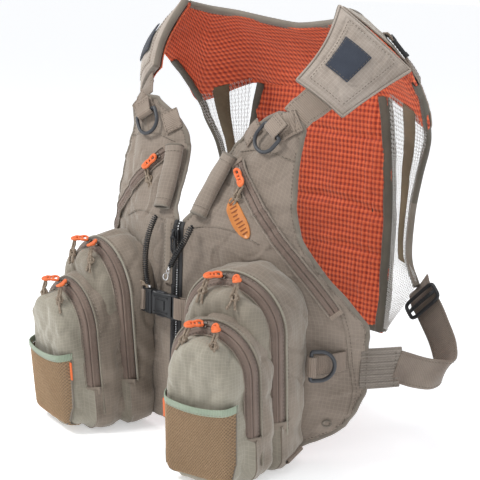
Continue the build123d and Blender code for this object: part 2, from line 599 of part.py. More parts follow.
# belt webbing: back corner, out through the tri-glide, round a slack fold and into the front's ribbed tab
BELT = [(177.0, 117.5, 174.0), (190.0, 103.0, 166.5), (205.0, 96.0, 154.5), (226.0, 85.0, 136.0), (246.0, 71.0, 115.5), (257.0, 57.0, 101.0), (255.0, 42.0, 96.0), (244.0, 23.0, 100.0), (231.5, 5.8, 107.0)]
BW = [(0.45, 0.25, 0.9), (0.45, 0.22, 0.9), (0.45, 0.2, 0.9), (0.45, 0.2, 0.9), (0.45, 0.2, 0.85), (0.38, 0.18, 0.9), (0.25, 0.12, 0.95), (0.1, 0.05, 1.0), (0.0, 0.0, 1.0)]
belt = bar(BELT, BW, WEB / 2, T_WEB)
# tri-glides: a frame with a middle bar, the webbing passing behind the bar
tg = extrude(RectangleRounded(52.0, 27.0, 4.0), 4.0) - Pos(0, 6.2, 0) * extrude(Rectangle(42.0, 6.4), 4.0) - Pos(0, -6.2, 0) * extrude(Rectangle(42.0, 6.4), 4.0)
tdir = unit(np.array(BELT[2]) - np.array(BELT[1]))
twid = unit(np.array(BW[1]) - tdir * (np.array(BW[1]) @ tdir))
tnor = unit(np.cross(twid, tdir))
tnor = tnor if tnor[0] > 0 or tnor[1] < 0 else -tnor
tc = (np.array(BELT[1]) + np.array(BELT[2])) / 2
if (tnor @ np.array([0.62, -0.75, 0.23])) < 0:
    tnor = -tnor
T1 = place(tg, tc + tnor * 3.6, twid, tnor)
save("left_triglide", T1)
save("right_triglide", T1.mirror(Plane.YZ))
print("triglide slide dir", np.round(tdir, 5), "centre", np.round((tc - ORIGIN) / 1000, 5))

# webbing sewn behind the yoke's outer corners; all webbing on the back is one group
lw = [YG[1][2] + YN[1][2] * 8.2, YG[1][3] + YN[1][3] * 8.2, YG[1][4] + YN[1][4] * 8.2]
ld = [unit(YG[2][2] - YG[0][2])] * 3
LW = bar(lw, ld, 12.5, T_WEB)
save("back_webbing", *both(st), *both(belt), *both(LW))

# ------------------------------------------------------------ coiled lanyards
def cord_path(pts):
    pts = [Vector(*(np.asarray(p_, float) - ORIGIN)) for p_ in pts]
    rad = []
    for i in range(1, len(pts) - 1):
        a, b = pts[i] - pts[i - 1], pts[i + 1] - pts[i]
        turn = math.radians(a.get_angle(b))
        rad.append(0.45 * min(a.length, b.length) / math.tan(turn / 2))
    print("cord radii", [round(x, 1) for x in rad])
    return FilletPolyline(*pts, radius=rad), sum((pts[i + 1] - pts[i]).length for i in range(len(pts) - 1))


COIL_D = 7.5
RL = [(-29.0, -142.5, 266.0), (-32.5, -147.5, 252.0), (-36.5, -149.5, 236.0), (-38.5, -149.8, 219.0), (-38.0, -149.8, 202.0), (-34.5, -150.3, 187.0), (-31.0, -151.5, 181.2)]
LL = [(29.0, -142.5, 263.5), (25.5, -147.5, 250.0), (19.0, -150.5, 236.5), (10.5, -151.5, 223.5), (4.0, -151.8, 211.0)]
for nm_, pts_ in (("right_lanyard", RL), ("left_lanyard", LL)):
    w_, ln = cord_path(pts_)
    start = w_ @ 0
    tan = w_ % 0
    s_ = sweep(Plane(origin=start, z_dir=tan) * Circle(COIL_D / 2), path=w_)
    print(nm_, "volume", round(s_.volume, 1), "section x length", round(math.pi * (COIL_D / 2) ** 2 * w_.length, 1), "length", round(w_.length, 1))
    save(nm_, s_)
# snap clip on the free lanyard
e = np.array(LL[-1])
dn = unit(np.array(LL[-1]) - np.array(LL[-2]))
clip = tube([e + dn * 0.4, e + dn * 4.0], 2.6, 8)
hook = tube(d_path(e + dn * 6.6, unit(np.cross(dn, (0, 1, 0))), dn, 8.0, 14.0, 7), 1.1, 6, loop=True)
save("lanyard_clip", clip, hook)
for nm_, v_ in (("CN", cn), ("CY", cy), ("SN", sn), ("SY", sy), ("AX_TOP", AX_TOP), ("AX_BOT", AX_BOT), ("CH_RING_BAR", CH_RING_BAR), ("CH_RING_AX", CH_RING_AX), ("SD_RING_BAR", SD_RING_BAR), ("ZIP_C", ZIP_C), ("ZIP_N", ZIP_N)):
    print(nm_, [round(float(x), 4) for x in v_])
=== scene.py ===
import math

import bmesh
import bpy
import numpy as np
from mathutils import Matrix, Vector


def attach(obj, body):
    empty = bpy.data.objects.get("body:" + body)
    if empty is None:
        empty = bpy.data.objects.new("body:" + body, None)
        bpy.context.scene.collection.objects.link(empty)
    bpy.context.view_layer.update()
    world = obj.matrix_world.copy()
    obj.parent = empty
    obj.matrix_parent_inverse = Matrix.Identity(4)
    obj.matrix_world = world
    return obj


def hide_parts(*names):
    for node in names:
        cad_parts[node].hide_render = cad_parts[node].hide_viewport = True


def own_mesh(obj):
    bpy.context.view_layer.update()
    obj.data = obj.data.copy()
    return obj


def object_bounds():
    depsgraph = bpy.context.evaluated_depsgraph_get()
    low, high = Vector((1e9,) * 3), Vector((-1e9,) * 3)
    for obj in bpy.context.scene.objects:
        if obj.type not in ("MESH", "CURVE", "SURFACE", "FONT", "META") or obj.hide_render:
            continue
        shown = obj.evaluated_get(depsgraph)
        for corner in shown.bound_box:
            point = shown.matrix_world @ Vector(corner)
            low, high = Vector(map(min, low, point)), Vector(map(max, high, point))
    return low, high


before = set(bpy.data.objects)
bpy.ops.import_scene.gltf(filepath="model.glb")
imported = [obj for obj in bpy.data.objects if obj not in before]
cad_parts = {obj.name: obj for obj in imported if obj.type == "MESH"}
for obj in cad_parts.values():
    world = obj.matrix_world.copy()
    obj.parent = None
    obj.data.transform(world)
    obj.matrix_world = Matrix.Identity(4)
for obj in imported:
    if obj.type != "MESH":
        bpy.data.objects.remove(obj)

CAD_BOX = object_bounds()
PI = math.pi
ORIGIN = np.array([0.0, 20.0, 480.0])      # working frame, mm, to the row frame


def to(p):
    return (np.asarray(p, float) - ORIGIN) / 1000.0


def unit(v):
    v = np.asarray(v, float)
    return v / np.linalg.norm(v, axis=-1, keepdims=True)


# ------------------------------------------------------------ camera and light
def camera():
    az, el, roll = math.radians(40.0), math.radians(13.31), math.radians(2.07)
    b = np.array([math.sin(az) * math.cos(el), -math.cos(az) * math.cos(el), math.sin(el)])
    r = np.array([math.cos(az), math.sin(az), 0.0])
    u = np.cross(b, r)
    r2 = math.cos(roll) * r + math.sin(roll) * u
    u2 = -math.sin(roll) * r + math.cos(roll) * u
    loc = to(np.array([14.76, -40.21, 227.72]) + 1317.16 * b)
    m = Matrix.Identity(4)
    for i in range(3):
        m[i][0], m[i][1], m[i][2], m[i][3] = r2[i], u2[i], b[i], loc[i]
    c = bpy.data.cameras.new("cam")
    c.sensor_width, c.lens = 36.0, 36.0 * 1075.49 / 480.0
    c.clip_start, c.clip_end = 0.05, 50.0
    o = bpy.data.objects.new("cam", c)
    bpy.context.scene.collection.objects.link(o)
    o.matrix_world = m
    bpy.context.scene.camera = o


camera()


# ------------------------------------------------------------ node material helpers
class NT:
    def __init__(self, name):
        self.m = bpy.data.materials.new(name)
        self.m.use_nodes = True
        self.t = self.m.node_tree
        self.b = self.t.nodes["Principled BSDF"]
        self.out = self.t.nodes["Material Output"]

    def n(self, kind, **kw):
        x = self.t.nodes.new(kind)
        for k, v in kw.items():
            if k.startswith("in_"):
                x.inputs[int(k[3:]) if k[3:].isdigit() else k[3:]].default_value = v
            else:
                setattr(x, k, v)
        return x

    def l(self, a, b):
        self.t.links.new(a, b)

    def math(self, op, a, b=None, c=None, clamp=False):
        x = self.n("ShaderNodeMath", operation=op, use_clamp=clamp)
        for i, v in enumerate((a, b, c)):
            if v is None:
                continue
            if isinstance(v, (int, float)):
                x.inputs[i].default_value = v
            else:
                self.l(v, x.inputs[i])
        return x.outputs[0]

    def coords(self, uv=True):
        tc = self.n("ShaderNodeTexCoord")
        return tc.outputs["UV"] if uv else tc.outputs["Object"]

    def mapped(self, vec, scale=(1, 1, 1), rot=(0, 0, 0)):
        mp = self.n("ShaderNodeMapping")
        mp.inputs["Scale"].default_value = scale
        mp.inputs["Rotation"].default_value = rot
        self.l(vec, mp.inputs["Vector"])
        return mp.outputs[0]

    def noise(self, vec, scale, detail=3.0, rough=0.55):
        x = self.n("ShaderNodeTexNoise")
        x.inputs["Scale"].default_value = scale
        x.inputs["Detail"].default_value = detail
        x.inputs["Roughness"].default_value = rough
        self.l(vec, x.inputs["Vector"])
        return x.outputs["Fac"]

    def ramp(self, fac, stops):
        x = self.n("ShaderNodeValToRGB")
        e = x.color_ramp.elements
        while len(e) < len(stops):
            e.new(0.5)
        for k, (p, c) in enumerate(stops):
            e[k].position = p
            e[k].color = (*c, 1.0) if len(c) == 3 else c
        self.l(fac, x.inputs[0])
        return x.outputs[0]

    def mix(self, fac, a, b, mode="MIX"):
        x = self.n("ShaderNodeMix", data_type="RGBA", blend_type=mode)
        if isinstance(fac, (int, float)):
            x.inputs[0].default_value = fac
        else:
            self.l(fac, x.inputs[0])
        for i, v in ((6, a), (7, b)):
            if isinstance(v, tuple):
                x.inputs[i].default_value = (*v, 1.0)
            else:
                self.l(v, x.inputs[i])
        return x.outputs[2]

    def bump(self, h, strength=0.3, dist=0.001, normal=None):
        x = self.n("ShaderNodeBump")
        x.inputs["Strength"].default_value = strength
        x.inputs["Distance"].default_value = dist
        self.l(h, x.inputs["Height"])
        if normal is not None:
            self.l(normal, x.inputs["Normal"])
        return x.outputs[0]

    def lines(self, vec, axis, pitch, duty):
        """1 on thin lines every pitch metres along one axis of vec, else 0, with soft edges."""
        s = self.n("ShaderNodeSeparateXYZ")
        self.l(vec, s.inputs[0])
        f = self.math("FRACT", self.math("MULTIPLY", s.outputs[axis], 1.0 / pitch))
        d = self.math("ABSOLUTE", self.math("SUBTRACT", f, 0.5))
        return self.math("SMOOTH_MIN", self.math("MAXIMUM", self.math("SUBTRACT", 1.0, self.math("MULTIPLY", d, 1.0 / duty)), 0.0), 1.0, 0.1)

    def sine(self, vec, axis, pitch, shift=0.0):
        s = self.n("ShaderNodeSeparateXYZ")
        self.l(vec, s.inputs[0])
        return self.math("SINE", self.math("MULTIPLY_ADD", s.outputs[axis], 2 * PI / pitch, shift))


def ripstop(name, c1, c2, rough=0.72, cell=0.0046, sheen=0.35, worn=0.12, diag=False):
    """Two-tone ripstop: fine plain weave, raised grid lines, slow colour drift and worn patches."""
    t = NT(name)
    uv = t.coords()
    ob = t.coords(False)
    if diag:
        uv = t.mapped(uv, rot=(0, 0, PI / 4))
    g = t.math("MAXIMUM", t.lines(uv, 0, cell, 0.11), t.lines(uv, 1, cell, 0.11))
    w1 = t.math("MULTIPLY", t.sine(uv, 0, 0.0011), t.sine(uv, 1, 0.0011))
    drift = t.noise(ob, 13.0, 4.0, 0.6)
    fine = t.noise(ob, 160.0, 3.0, 0.7)
    col = t.mix(t.ramp(drift, [(0.33, (0, 0, 0)), (0.68, (1, 1, 1))]), c1, c2)
    lift = tuple(min(1.0, x * 1.28 + 0.01) for x in c2)
    col = t.mix(t.math("MULTIPLY", g, 0.42), col, lift)
    col = t.mix(t.math("MULTIPLY", t.math("MULTIPLY_ADD", w1, 0.5, 0.5), 0.16), col, tuple(x * 0.55 for x in c1))
    col = t.mix(t.math("MULTIPLY", t.ramp(fine, [(0.45, (0, 0, 0)), (0.75, (1, 1, 1))]), worn), col, tuple(min(1.0, x * 1.5) for x in c2))
    t.l(col, t.b.inputs["Base Color"])
    t.l(t.math("MULTIPLY_ADD", fine, 0.16, rough - 0.08), t.b.inputs["Roughness"])
    h = t.math("ADD", t.math("MULTIPLY", g, 0.8), t.math("MULTIPLY", w1, 0.3))
    nb = t.bump(h, 0.35, 0.0004)
    slow = t.noise(ob, 42.0, 5.0, 0.62)
    t.l(t.bump(slow, 0.32, 0.004, nb), t.b.inputs["Normal"])
    t.b.inputs["Sheen Weight"].default_value = sheen
    t.b.inputs["Sheen Roughness"].default_value = 0.45
    t.b.inputs["Sheen Tint"].default_value = (0.86, 0.84, 0.78, 1)
    t.b.inputs["Specular IOR Level"].default_value = 0.34
    return t.m


def webbing(name, c1, c2, rib=0.0017, rough=0.62, depth=0.5, axis=1, sheen=0.2):
    """Woven webbing: ribs across, twill lines along, soft sheen."""
    t = NT(name)
    uv = t.coords()
    ob = t.coords(False)
    r1 = t.sine(uv, axis, rib)
    tw = t.sine(t.mapped(uv, rot=(0, 0, PI / 4)), 0, rib * 0.9)
    n1 = t.noise(ob, 95.0, 4.0, 0.65)
    n0 = t.noise(ob, 18.0, 3.0, 0.5)
    col = t.mix(t.ramp(n0, [(0.35, (0, 0, 0)), (0.7, (1, 1, 1))]), c1, c2)
    col = t.mix(t.math("MULTIPLY", t.math("MULTIPLY_ADD", r1, 0.5, 0.5), 0.34), col, tuple(x * 0.5 for x in c1))
    col = t.mix(t.math("MULTIPLY", t.ramp(n1, [(0.5, (0, 0, 0)), (0.8, (1, 1, 1))]), 0.18), col, tuple(min(1.0, x * 1.5) for x in c2))
    t.l(col, t.b.inputs["Base Color"])
    t.l(t.math("MULTIPLY_ADD", n1, 0.2, rough - 0.1), t.b.inputs["Roughness"])
    h = t.math("ADD", t.math("MULTIPLY", r1, 0.6), t.math("MULTIPLY", tw, 0.25))
    t.l(t.bump(h, depth, 0.0005), t.b.inputs["Normal"])
    t.b.inputs["Sheen Weight"].default_value = sheen
    t.b.inputs["Specular IOR Level"].default_value = 0.38
    return t.m


MESH_A, MESH_B = 0.0120, 0.0140      # spacer mesh cell, across and along


def spacer(name, dark, mid, high):
    """Spacer mesh: staggered knots, painted shade in the holes between them and lighter knot tops; the same cells as
    the modelled relief.
    """
    t = NT(name)
    uv = t.coords()
    ob = t.coords(False)
    s = t.n("ShaderNodeSeparateXYZ")
    t.l(uv, s.inputs[0])
    a = t.math("MULTIPLY", s.outputs[0], 2 * PI / MESH_A)
    b = t.math("MULTIPLY", s.outputs[1], 2 * PI / MESH_B)
    f = t.math("MULTIPLY", t.math("COSINE", t.math("ADD", a, b)), t.math("COSINE", t.math("SUBTRACT", a, b)))
    rib = t.sine(uv, 1, MESH_B / 5.0)
    f2 = t.math("ADD", t.math("MULTIPLY_ADD", f, 0.5, 0.5), t.math("MULTIPLY", rib, 0.06))
    nz = t.noise(ob, 26.0, 4.0, 0.6)
    fz = t.noise(ob, 260.0, 3.0, 0.7)
    f3 = t.math("ADD", f2, t.math("MULTIPLY_ADD", fz, 0.34, -0.17))
    # colour follows the relief height: painted shade in the holes, lighter towards the raised knots
    col = t.ramp(f3, [(0.12, dark), (0.48, mid), (0.9, high)])
    col = t.mix(t.math("MULTIPLY", t.ramp(nz, [(0.35, (0, 0, 0)), (0.72, (1, 1, 1))]), 0.3), col, tuple(x * 0.6 for x in mid))
    t.l(col, t.b.inputs["Base Color"])
    t.b.inputs["Roughness"].default_value = 0.7
    t.l(t.bump(f3, 0.6, 0.0006), t.b.inputs["Normal"])
    t.b.inputs["Sheen Weight"].default_value = 0.3
    t.b.inputs["Sheen Tint"].default_value = (1.0, 0.62, 0.45, 1)
    return t.m


def plastic(name, c, rough=0.42, grain=900.0, edge=0.25, coat=0.0, spec=0.5):
    """Moulded plastic: fine grain, rubbed lighter patches."""
    t = NT(name)
    ob = t.coords(False)
    g = t.noise(ob, grain, 2.0, 0.6)
    s = t.noise(ob, 55.0, 4.0, 0.65)
    hi = tuple(min(1.0, x * 1.7 + 0.012) for x in c)
    t.l(t.mix(t.math("MULTIPLY", t.ramp(s, [(0.48, (0, 0, 0)), (0.74, (1, 1, 1))]), edge), c, hi), t.b.inputs["Base Color"])
    t.l(t.math("MULTIPLY_ADD", s, 0.26, rough - 0.13), t.b.inputs["Roughness"])
    t.l(t.bump(g, 0.14, 0.0003), t.b.inputs["Normal"])
    t.b.inputs["Specular IOR Level"].default_value = spec
    t.b.inputs["Coat Weight"].default_value = coat
    return t.m


def metal(name, c, rough=0.28):
    t = NT(name)
    ob = t.coords(False)
    s = t.noise(ob, 420.0, 3.0, 0.6)
    t.l(t.mix(t.math("MULTIPLY", s, 0.4), c, tuple(x * 0.6 for x in c)), t.b.inputs["Base Color"])
    t.l(t.math("MULTIPLY_ADD", s, 0.25, rough - 0.1), t.b.inputs["Roughness"])
    t.b.inputs["Metallic"].default_value = 1.0
    return t.m


def cordmat(name, c1, c2):
    """Braided cord: crossing strands by UV, fuzz by noise."""
    t = NT(name)
    ob = t.coords(False)
    uv = t.coords()
    br = t.math("MULTIPLY", t.sine(t.mapped(uv, rot=(0, 0, PI / 4)), 0, 0.0012), t.sine(t.mapped(uv, rot=(0, 0, PI / 4)), 1, 0.0012))
    n = t.noise(ob, 380.0, 3.0, 0.7)
    col = t.mix(t.ramp(n, [(0.35, (0, 0, 0)), (0.68, (1, 1, 1))]), c1, c2)
    col = t.mix(t.math("MULTIPLY", t.math("MULTIPLY_ADD", br, 0.5, 0.5), 0.35), col, tuple(x * 0.45 for x in c1))
    t.l(col, t.b.inputs["Base Color"])
    t.b.inputs["Roughness"].default_value = 0.8
    t.l(t.bump(t.math("ADD", br, n), 0.5, 0.0004), t.b.inputs["Normal"])
    return t.m


KHAKI = ripstop("khaki_ripstop", (0.182, 0.145, 0.115), (0.265, 0.216, 0.176), sheen=0.60)
KHAKI_D = ripstop("khaki_gusset", (0.172, 0.138, 0.108), (0.248, 0.203, 0.162), sheen=0.60, diag=False)
# a lighter, greener copy of the khaki ripstop: painted sheen for faces turned to the camera
KHAKI_SHEEN = ripstop("khaki_painted_sheen", (0.238, 0.216, 0.170), (0.325, 0.300, 0.242), sheen=0.60, cell=0.0040)
KHAKI_P = ripstop("pad_ripstop", (0.275, 0.225, 0.186), (0.400, 0.345, 0.300), sheen=0.65, cell=0.0040)
LINING = ripstop("lining_cloth", (0.150, 0.128, 0.104), (0.200, 0.172, 0.140), sheen=0.1)
TAPE = webbing("zip_tape_cloth", (0.165, 0.116, 0.092), (0.225, 0.164, 0.132), rib=0.0012, depth=0.35, axis=0)
BIND = webbing("binding_grosgrain", (0.165, 0.138, 0.108), (0.225, 0.195, 0.158), rib=0.0014, depth=0.4, axis=1)
BIND_D = webbing("binding_dark", (0.078, 0.068, 0.050), (0.125, 0.110, 0.084), rib=0.0014, depth=0.4, axis=1)
WEBT = webbing("tan_webbing", (0.225, 0.172, 0.134), (0.305, 0.245, 0.196), rib=0.0021, depth=0.55)
OLIVE = webbing("olive_band", (0.105, 0.072, 0.036), (0.190, 0.142, 0.080), rib=0.0016, depth=0.4)
MINT = webbing("mint_elastic", (0.270, 0.335, 0.245), (0.360, 0.425, 0.325), rib=0.0018, depth=0.6, axis=0)
ELAST = webbing("ribbed_elastic", (0.190, 0.160, 0.132), (0.275, 0.240, 0.205), rib=0.0032, depth=0.9, axis=1)
# the spacer's first colour is painted shade in the mesh holes
ORANGE = spacer("orange_spacer", (0.235, 0.020, 0.007), (0.560, 0.068, 0.020), (0.760, 0.150, 0.050))
BRONZE = cordmat("bronze_mesh_yarn", (0.420, 0.275, 0.155), (0.560, 0.385, 0.235))
NETW = cordmat("pale_net_yarn", (0.62, 0.60, 0.57), (0.78, 0.77, 0.75))
HOOK = ripstop("hook_tape", (0.028, 0.034, 0.050), (0.050, 0.060, 0.082), rough=0.9, cell=0.0016, sheen=0.25, worn=0.05)
BLACK = plastic("black_acetal", (0.012, 0.013, 0.015), 0.40)
SLATE = plastic("slate_acetal", (0.040, 0.043, 0.050), 0.45)
PULL = plastic("orange_rubber", (0.740, 0.150, 0.040), 0.46, spec=0.45)
BADGE = plastic("badge_orange", (0.560, 0.205, 0.050), 0.40)
BADGE_D = plastic("badge_groove", (0.230, 0.060, 0.012), 0.55)
COIL = plastic("black_cord_skin", (0.010, 0.010, 0.011), 0.25, coat=0.3)
STEEL = metal("plated_steel", (0.62, 0.62, 0.63), 0.22)
GUN = metal("gunmetal_slider", (0.17, 0.15, 0.135), 0.42)
TEETH = plastic("zip_teeth_black", (0.014, 0.014, 0.015), 0.36)
PARA = cordmat("tan_cord", (0.200, 0.145, 0.098), (0.420, 0.345, 0.270))
THREAD = cordmat("thread", (0.140, 0.112, 0.086), (0.180, 0.150, 0.120))
THREAD_L = cordmat("thread_light", (0.330, 0.290, 0.240), (0.420, 0.372, 0.315))


# ------------------------------------------------------------ mesh building
def waves(seed, n=9, stretch=(1, 1, 1)):
    r = np.random.RandomState(seed)
    d = unit(r.normal(size=(n, 3))) * np.asarray(stretch, float)
    f = r.uniform(0.6, 1.9, n)
    ph = r.uniform(0, 2 * PI, n)
    am = 1.0 / f

    def g(p, scale):
        q = np.asarray(p, float) @ (d * f[:, None]).T * (2 * PI / scale) + ph
        return (np.sin(q) * am).sum(-1) / am.sum() * 1.9
    return g


def crease(g, p, scale, width=0.22):
    """Narrow ridges along a smooth field's zero lines, 0 to 1."""
    return np.exp(-(g(p, scale) / width) ** 2)


class Acc:
    """Collects geometry in working millimetres and makes one object of it."""

    def __init__(self):
        self.V, self.F, self.U, self.M = [], [], [], []
        self.n = 0
        self.mats = []

    def mi(self, mat):
        if mat not in self.mats:
            self.mats.append(mat)
        return self.mats.index(mat)

    def add(self, V, F, mat, uv=None, s=1):
        V = np.asarray(V, float).reshape(-1, 3)
        if s < 0:
            V = V * np.array([-1.0, 1, 1])
            F = [tuple(f[::-1]) for f in F]
        uv = np.zeros((len(V), 2)) if uv is None else np.asarray(uv, float).reshape(-1, 2)
        k = self.mi(mat)
        self.V.append(V)
        self.U.append(uv)
        self.F += [tuple(i + self.n for i in f) for f in F]
        self.M += [k] * len(F)
        self.n += len(V)

    def make(self, name, body, repl=(), smooth=True):
        V, U = np.concatenate(self.V), np.concatenate(self.U)
        me = bpy.data.meshes.new(name)
        me.from_pydata(to(V).tolist(), [], self.F)
        me.update()
        for m in self.mats:
            me.materials.append(m)
        me.polygons.foreach_set("material_index", self.M)
        me.polygons.foreach_set("use_smooth", [bool(smooth)] * len(self.F))
        lay = me.uv_layers.new(name="UVMap")
        li = np.empty(len(me.loops), dtype=np.int64)
        me.loops.foreach_get("vertex_index", li)
        lay.data.foreach_set("uv", U[li].astype(np.float32).ravel())
        me.validate()
        o = bpy.data.objects.new(name, me)
        bpy.context.scene.collection.objects.link(o)
        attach(o, body)
        if repl:
            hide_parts(*repl)
        return o


def grid_faces(r, c, off=0, wrap=False, flip=False):
    F = []
    cc = c if wrap else c - 1
    for i in range(r - 1):
        for j in range(cc):
            j2 = (j + 1) % c
            f = (off + i * c + j, off + i * c + j2, off + (i + 1) * c + j2, off + (i + 1) * c + j)
            F.append(f[::-1] if flip else f)
    return F


def gnormals(G, wrap=False):
    if wrap:
        dj = np.roll(G, -1, 1) - np.roll(G, 1, 1)
    else:
        dj = np.gradient(G, axis=1)
    n = np.cross(np.gradient(G, axis=0), dj)
    l = np.linalg.norm(n, axis=2, keepdims=True)
    return n / np.where(l < 1e-9, 1.0, l)


def grid_uv(G, wrap=False):
    du = np.linalg.norm(np.diff(G, axis=1), axis=2)
    dv = np.linalg.norm(np.diff(G, axis=0), axis=2)
    u = np.concatenate([np.zeros((G.shape[0], 1)), np.cumsum(du, 1)], 1)
    if not wrap:
        u = u - u.mean(1, keepdims=True)
    v = np.concatenate([np.zeros((1, G.shape[1])), np.cumsum(dv, 0)], 0)
    v = np.repeat(v.mean(1, keepdims=True), G.shape[1], 1) * 0.5 + v * 0.5
    return np.stack([u, v], -1) / 1000.0


def slab(acc, G, t0, t1, mat, N=None, back=None, s=1, uv=None, rim=None, rimw=None):
    """Closed cloth: offsets t0 and t1 of a grid along N, rounded rim. t0 < t1; t1 is the outer face."""
    G = np.asarray(G, float)
    r, c = G.shape[:2]
    N = gnormals(G) if N is None else N
    uv = grid_uv(G) if uv is None else uv
    A, B = G + N * t1, G + N * t0
    # orientation: outer face must look along +N
    e = np.cross(G[1, 0] - G[0, 0], G[0, 1] - G[0, 0]) @ N[0, 0]
    fl = e > 0
    acc.add(A, grid_faces(r, c, flip=fl), mat, uv, s)
    acc.add(B, grid_faces(r, c, flip=not fl), back or mat, uv, s)
    idx = [(0, j) for j in range(c)] + [(i, c - 1) for i in range(1, r)] + [(r - 1, j) for j in range(c - 2, -1, -1)] + [(i, 0) for i in range(r - 2, 0, -1)]
    loop_a = np.array([A[i] for i in idx])
    loop_b = np.array([B[i] for i in idx])
    cen = G.reshape(-1, 3).mean(0)
    mid = (loop_a + loop_b) / 2
    out = np.array([G[i] for i in idx])
    nn = np.array([N[i] for i in idx])
    tan = unit(np.roll(out, -1, 0) - np.roll(out, 1, 0) + 1e-9)
    o = np.cross(tan, nn)
    sg = np.sign(((out - cen) * o).sum(1).mean())
    bulge = o * sg * min(1.2, abs(t1 - t0) * 0.35)
    R = np.stack([loop_a, (loop_a * 0.8 + loop_b * 0.2) + bulge * 0.8, mid + bulge, (loop_a * 0.2 + loop_b * 0.8) + bulge * 0.8, loop_b])
    n = len(idx)
    uvr = np.array([uv[i] for i in idx])
    uvr = np.stack([uvr] * 5)
    F = grid_faces(5, n, wrap=True)
    f0 = F[0]
    t = R.reshape(-1, 3)
    nf = np.cross(t[f0[1]] - t[f0[0]], t[f0[2]] - t[f0[0]])
    if nf @ (o[0] * sg) < 0:
        F = [f[::-1] for f in F]
    acc.add(R, F, rim or mat, uvr, s)


def tubeg(acc, P, r, mat, sides=8, closed=False, s=1, flat=None, wide=None, twist=None, caps=True):
    """Round (or oval, with flat = thickness ratio along wide) tube along P. r may be one number or one per point."""
    P = np.asarray(P, float)
    n = len(P)
    T = np.roll(P, -1, 0) - np.roll(P, 1, 0) if closed else np.gradient(P, axis=0)
    T = unit(T + 1e-12)
    r = np.full(n, float(r)) if np.isscalar(r) else np.asarray(r, float)
    if wide is None:
        a = np.cross(T[0], [0.31, 0.17, 0.93])
        a = a / np.linalg.norm(a)
        A = []
        for t in T:
            a = a - t * (a @ t)
            a = a / np.linalg.norm(a)
            A.append(a)
        A = np.array(A)
        if closed:
            # spread the closing twist
            e = A[0] - T[-1] * (A[0] @ T[-1])
            ang = math.atan2(np.cross(A[-1], e) @ T[-1], A[-1] @ e)
            B = np.cross(T, A)
            k = (np.arange(n) / n * ang)[:, None]
            A = A * np.cos(k) + B * np.sin(k)
    else:
        A = np.asarray(wide, float)
        A = A if A.ndim == 2 else np.repeat(A[None], n, 0)
        A = unit(A - T * (A * T).sum(1, keepdims=True))
    B = np.cross(T, A)
    ks = np.linspace(0, 2 * PI, sides + 1)[:-1]
    fl = 1.0 if flat is None else flat
    R = P[:, None] + r[:, None, None] * (A[:, None] * np.cos(ks)[None, :, None] + B[:, None] * np.sin(ks)[None, :, None] * fl)
    L = np.concatenate([[0], np.cumsum(np.linalg.norm(np.diff(P, axis=0), axis=1))])
    uv = np.zeros((n, sides, 2))
    uv[..., 0] = (ks * r.mean())[None] / 1000
    uv[..., 1] = L[:, None] / 1000
    m = n + 1 if closed else n
    F = []
    for i in range(n if closed else n - 1):
        a0, b0 = i * sides, ((i + 1) % n) * sides
        for j in range(sides):
            k = (j + 1) % sides
            F.append((a0 + j, a0 + k, b0 + k, b0 + j))
    V = R.reshape(-1, 3)
    uv = uv.reshape(-1, 2)
    if not closed and caps:
        V = np.concatenate([V, [P[0] - T[0] * r[0] * 0.35 * fl, P[-1] + T[-1] * r[-1] * 0.35 * fl]])
        uv = np.concatenate([uv, [uv[0], uv[-1]]])
        a, b = n * sides, n * sides + 1
        for j in range(sides):
            k = (j + 1) % sides
            F.append((a, k, j))
            F.append((b, (n - 1) * sides + j, (n - 1) * sides + k))
    acc.add(V, F, mat, uv, s)


def smooth_path(P, n=40, closed=False):
    """Catmull-Rom through the points, n samples evenly by length."""
    P = np.asarray(P, float)
    if closed:
        Q = np.concatenate([P[-1:], P, P[:2]])
    else:
        Q = np.concatenate([2 * P[:1] - P[1:2], P, 2 * P[-1:] - P[-2:-1]])
    out = []
    for i in range(1, len(Q) - 2):
        p0, p1, p2, p3 = Q[i - 1], Q[i], Q[i + 1], Q[i + 2]
        t = np.linspace(0, 1, 25)[:-1, None]
        out.append(0.5 * (2 * p1 + (p2 - p0) * t + (2 * p0 - 5 * p1 + 4 * p2 - p3) * t ** 2 + (3 * p1 - p0 - 3 * p2 + p3) * t ** 3))
    out = np.concatenate(out + ([] if closed else [P[-1:]]))
    if closed:
        out = np.concatenate([out, out[:1]])
    L = np.concatenate([[0], np.cumsum(np.linalg.norm(np.diff(out, axis=0), axis=1))])
    q = np.linspace(0, L[-1], n + 1 if closed else n)
    r = np.stack([np.interp(q, L, out[:, k]) for k in range(out.shape[1])], 1)
    return r[:-1] if closed else r


def plen(P):
    return float(np.linalg.norm(np.diff(P, axis=0), axis=1).sum())


def stitches(acc, P, N, s=1, mat=None, ln=2.9, gap=1.5, r=0.36):
    """Sewn dashes along a line, proud of the cloth along N."""
    P, N = np.asarray(P, float), np.asarray(N, float)
    N = N if N.ndim == 2 else np.repeat(N[None], len(P), 0)
    L = np.concatenate([[0], np.cumsum(np.linalg.norm(np.diff(P, axis=0), axis=1))])
    at = np.arange(ln * 0.6, L[-1] - ln * 0.6, ln + gap)
    if len(at) == 0:
        return
    f = lambda q, A: np.stack([np.interp(q, L, A[:, k]) for k in range(3)], 1)
    V, F = [], []
    for q in at:
        p = f(np.array([q - ln / 2, q - ln * 0.25, q + ln * 0.25, q + ln / 2]), P)
        n = unit(f(np.array([q]), N))[0]
        t = unit(p[3] - p[0])
        w = np.cross(t, n)
        k0 = len(V)
        V += [p[0] - n * 0.15]
        for pp in (p[1], p[2]):
            V += [pp + w * r, pp + n * r * 1.25, pp - w * r, pp - n * 0.3]
        V += [p[3] - n * 0.15]
        for j in range(4):
            k = (j + 1) % 4
            F += [(k0, k0 + 1 + k, k0 + 1 + j), (k0 + 1 + j, k0 + 1 + k, k0 + 5 + k, k0 + 5 + j), (k0 + 5 + j, k0 + 5 + k, k0 + 9)]
    acc.add(np.array(V), F, mat or THREAD, None, s)


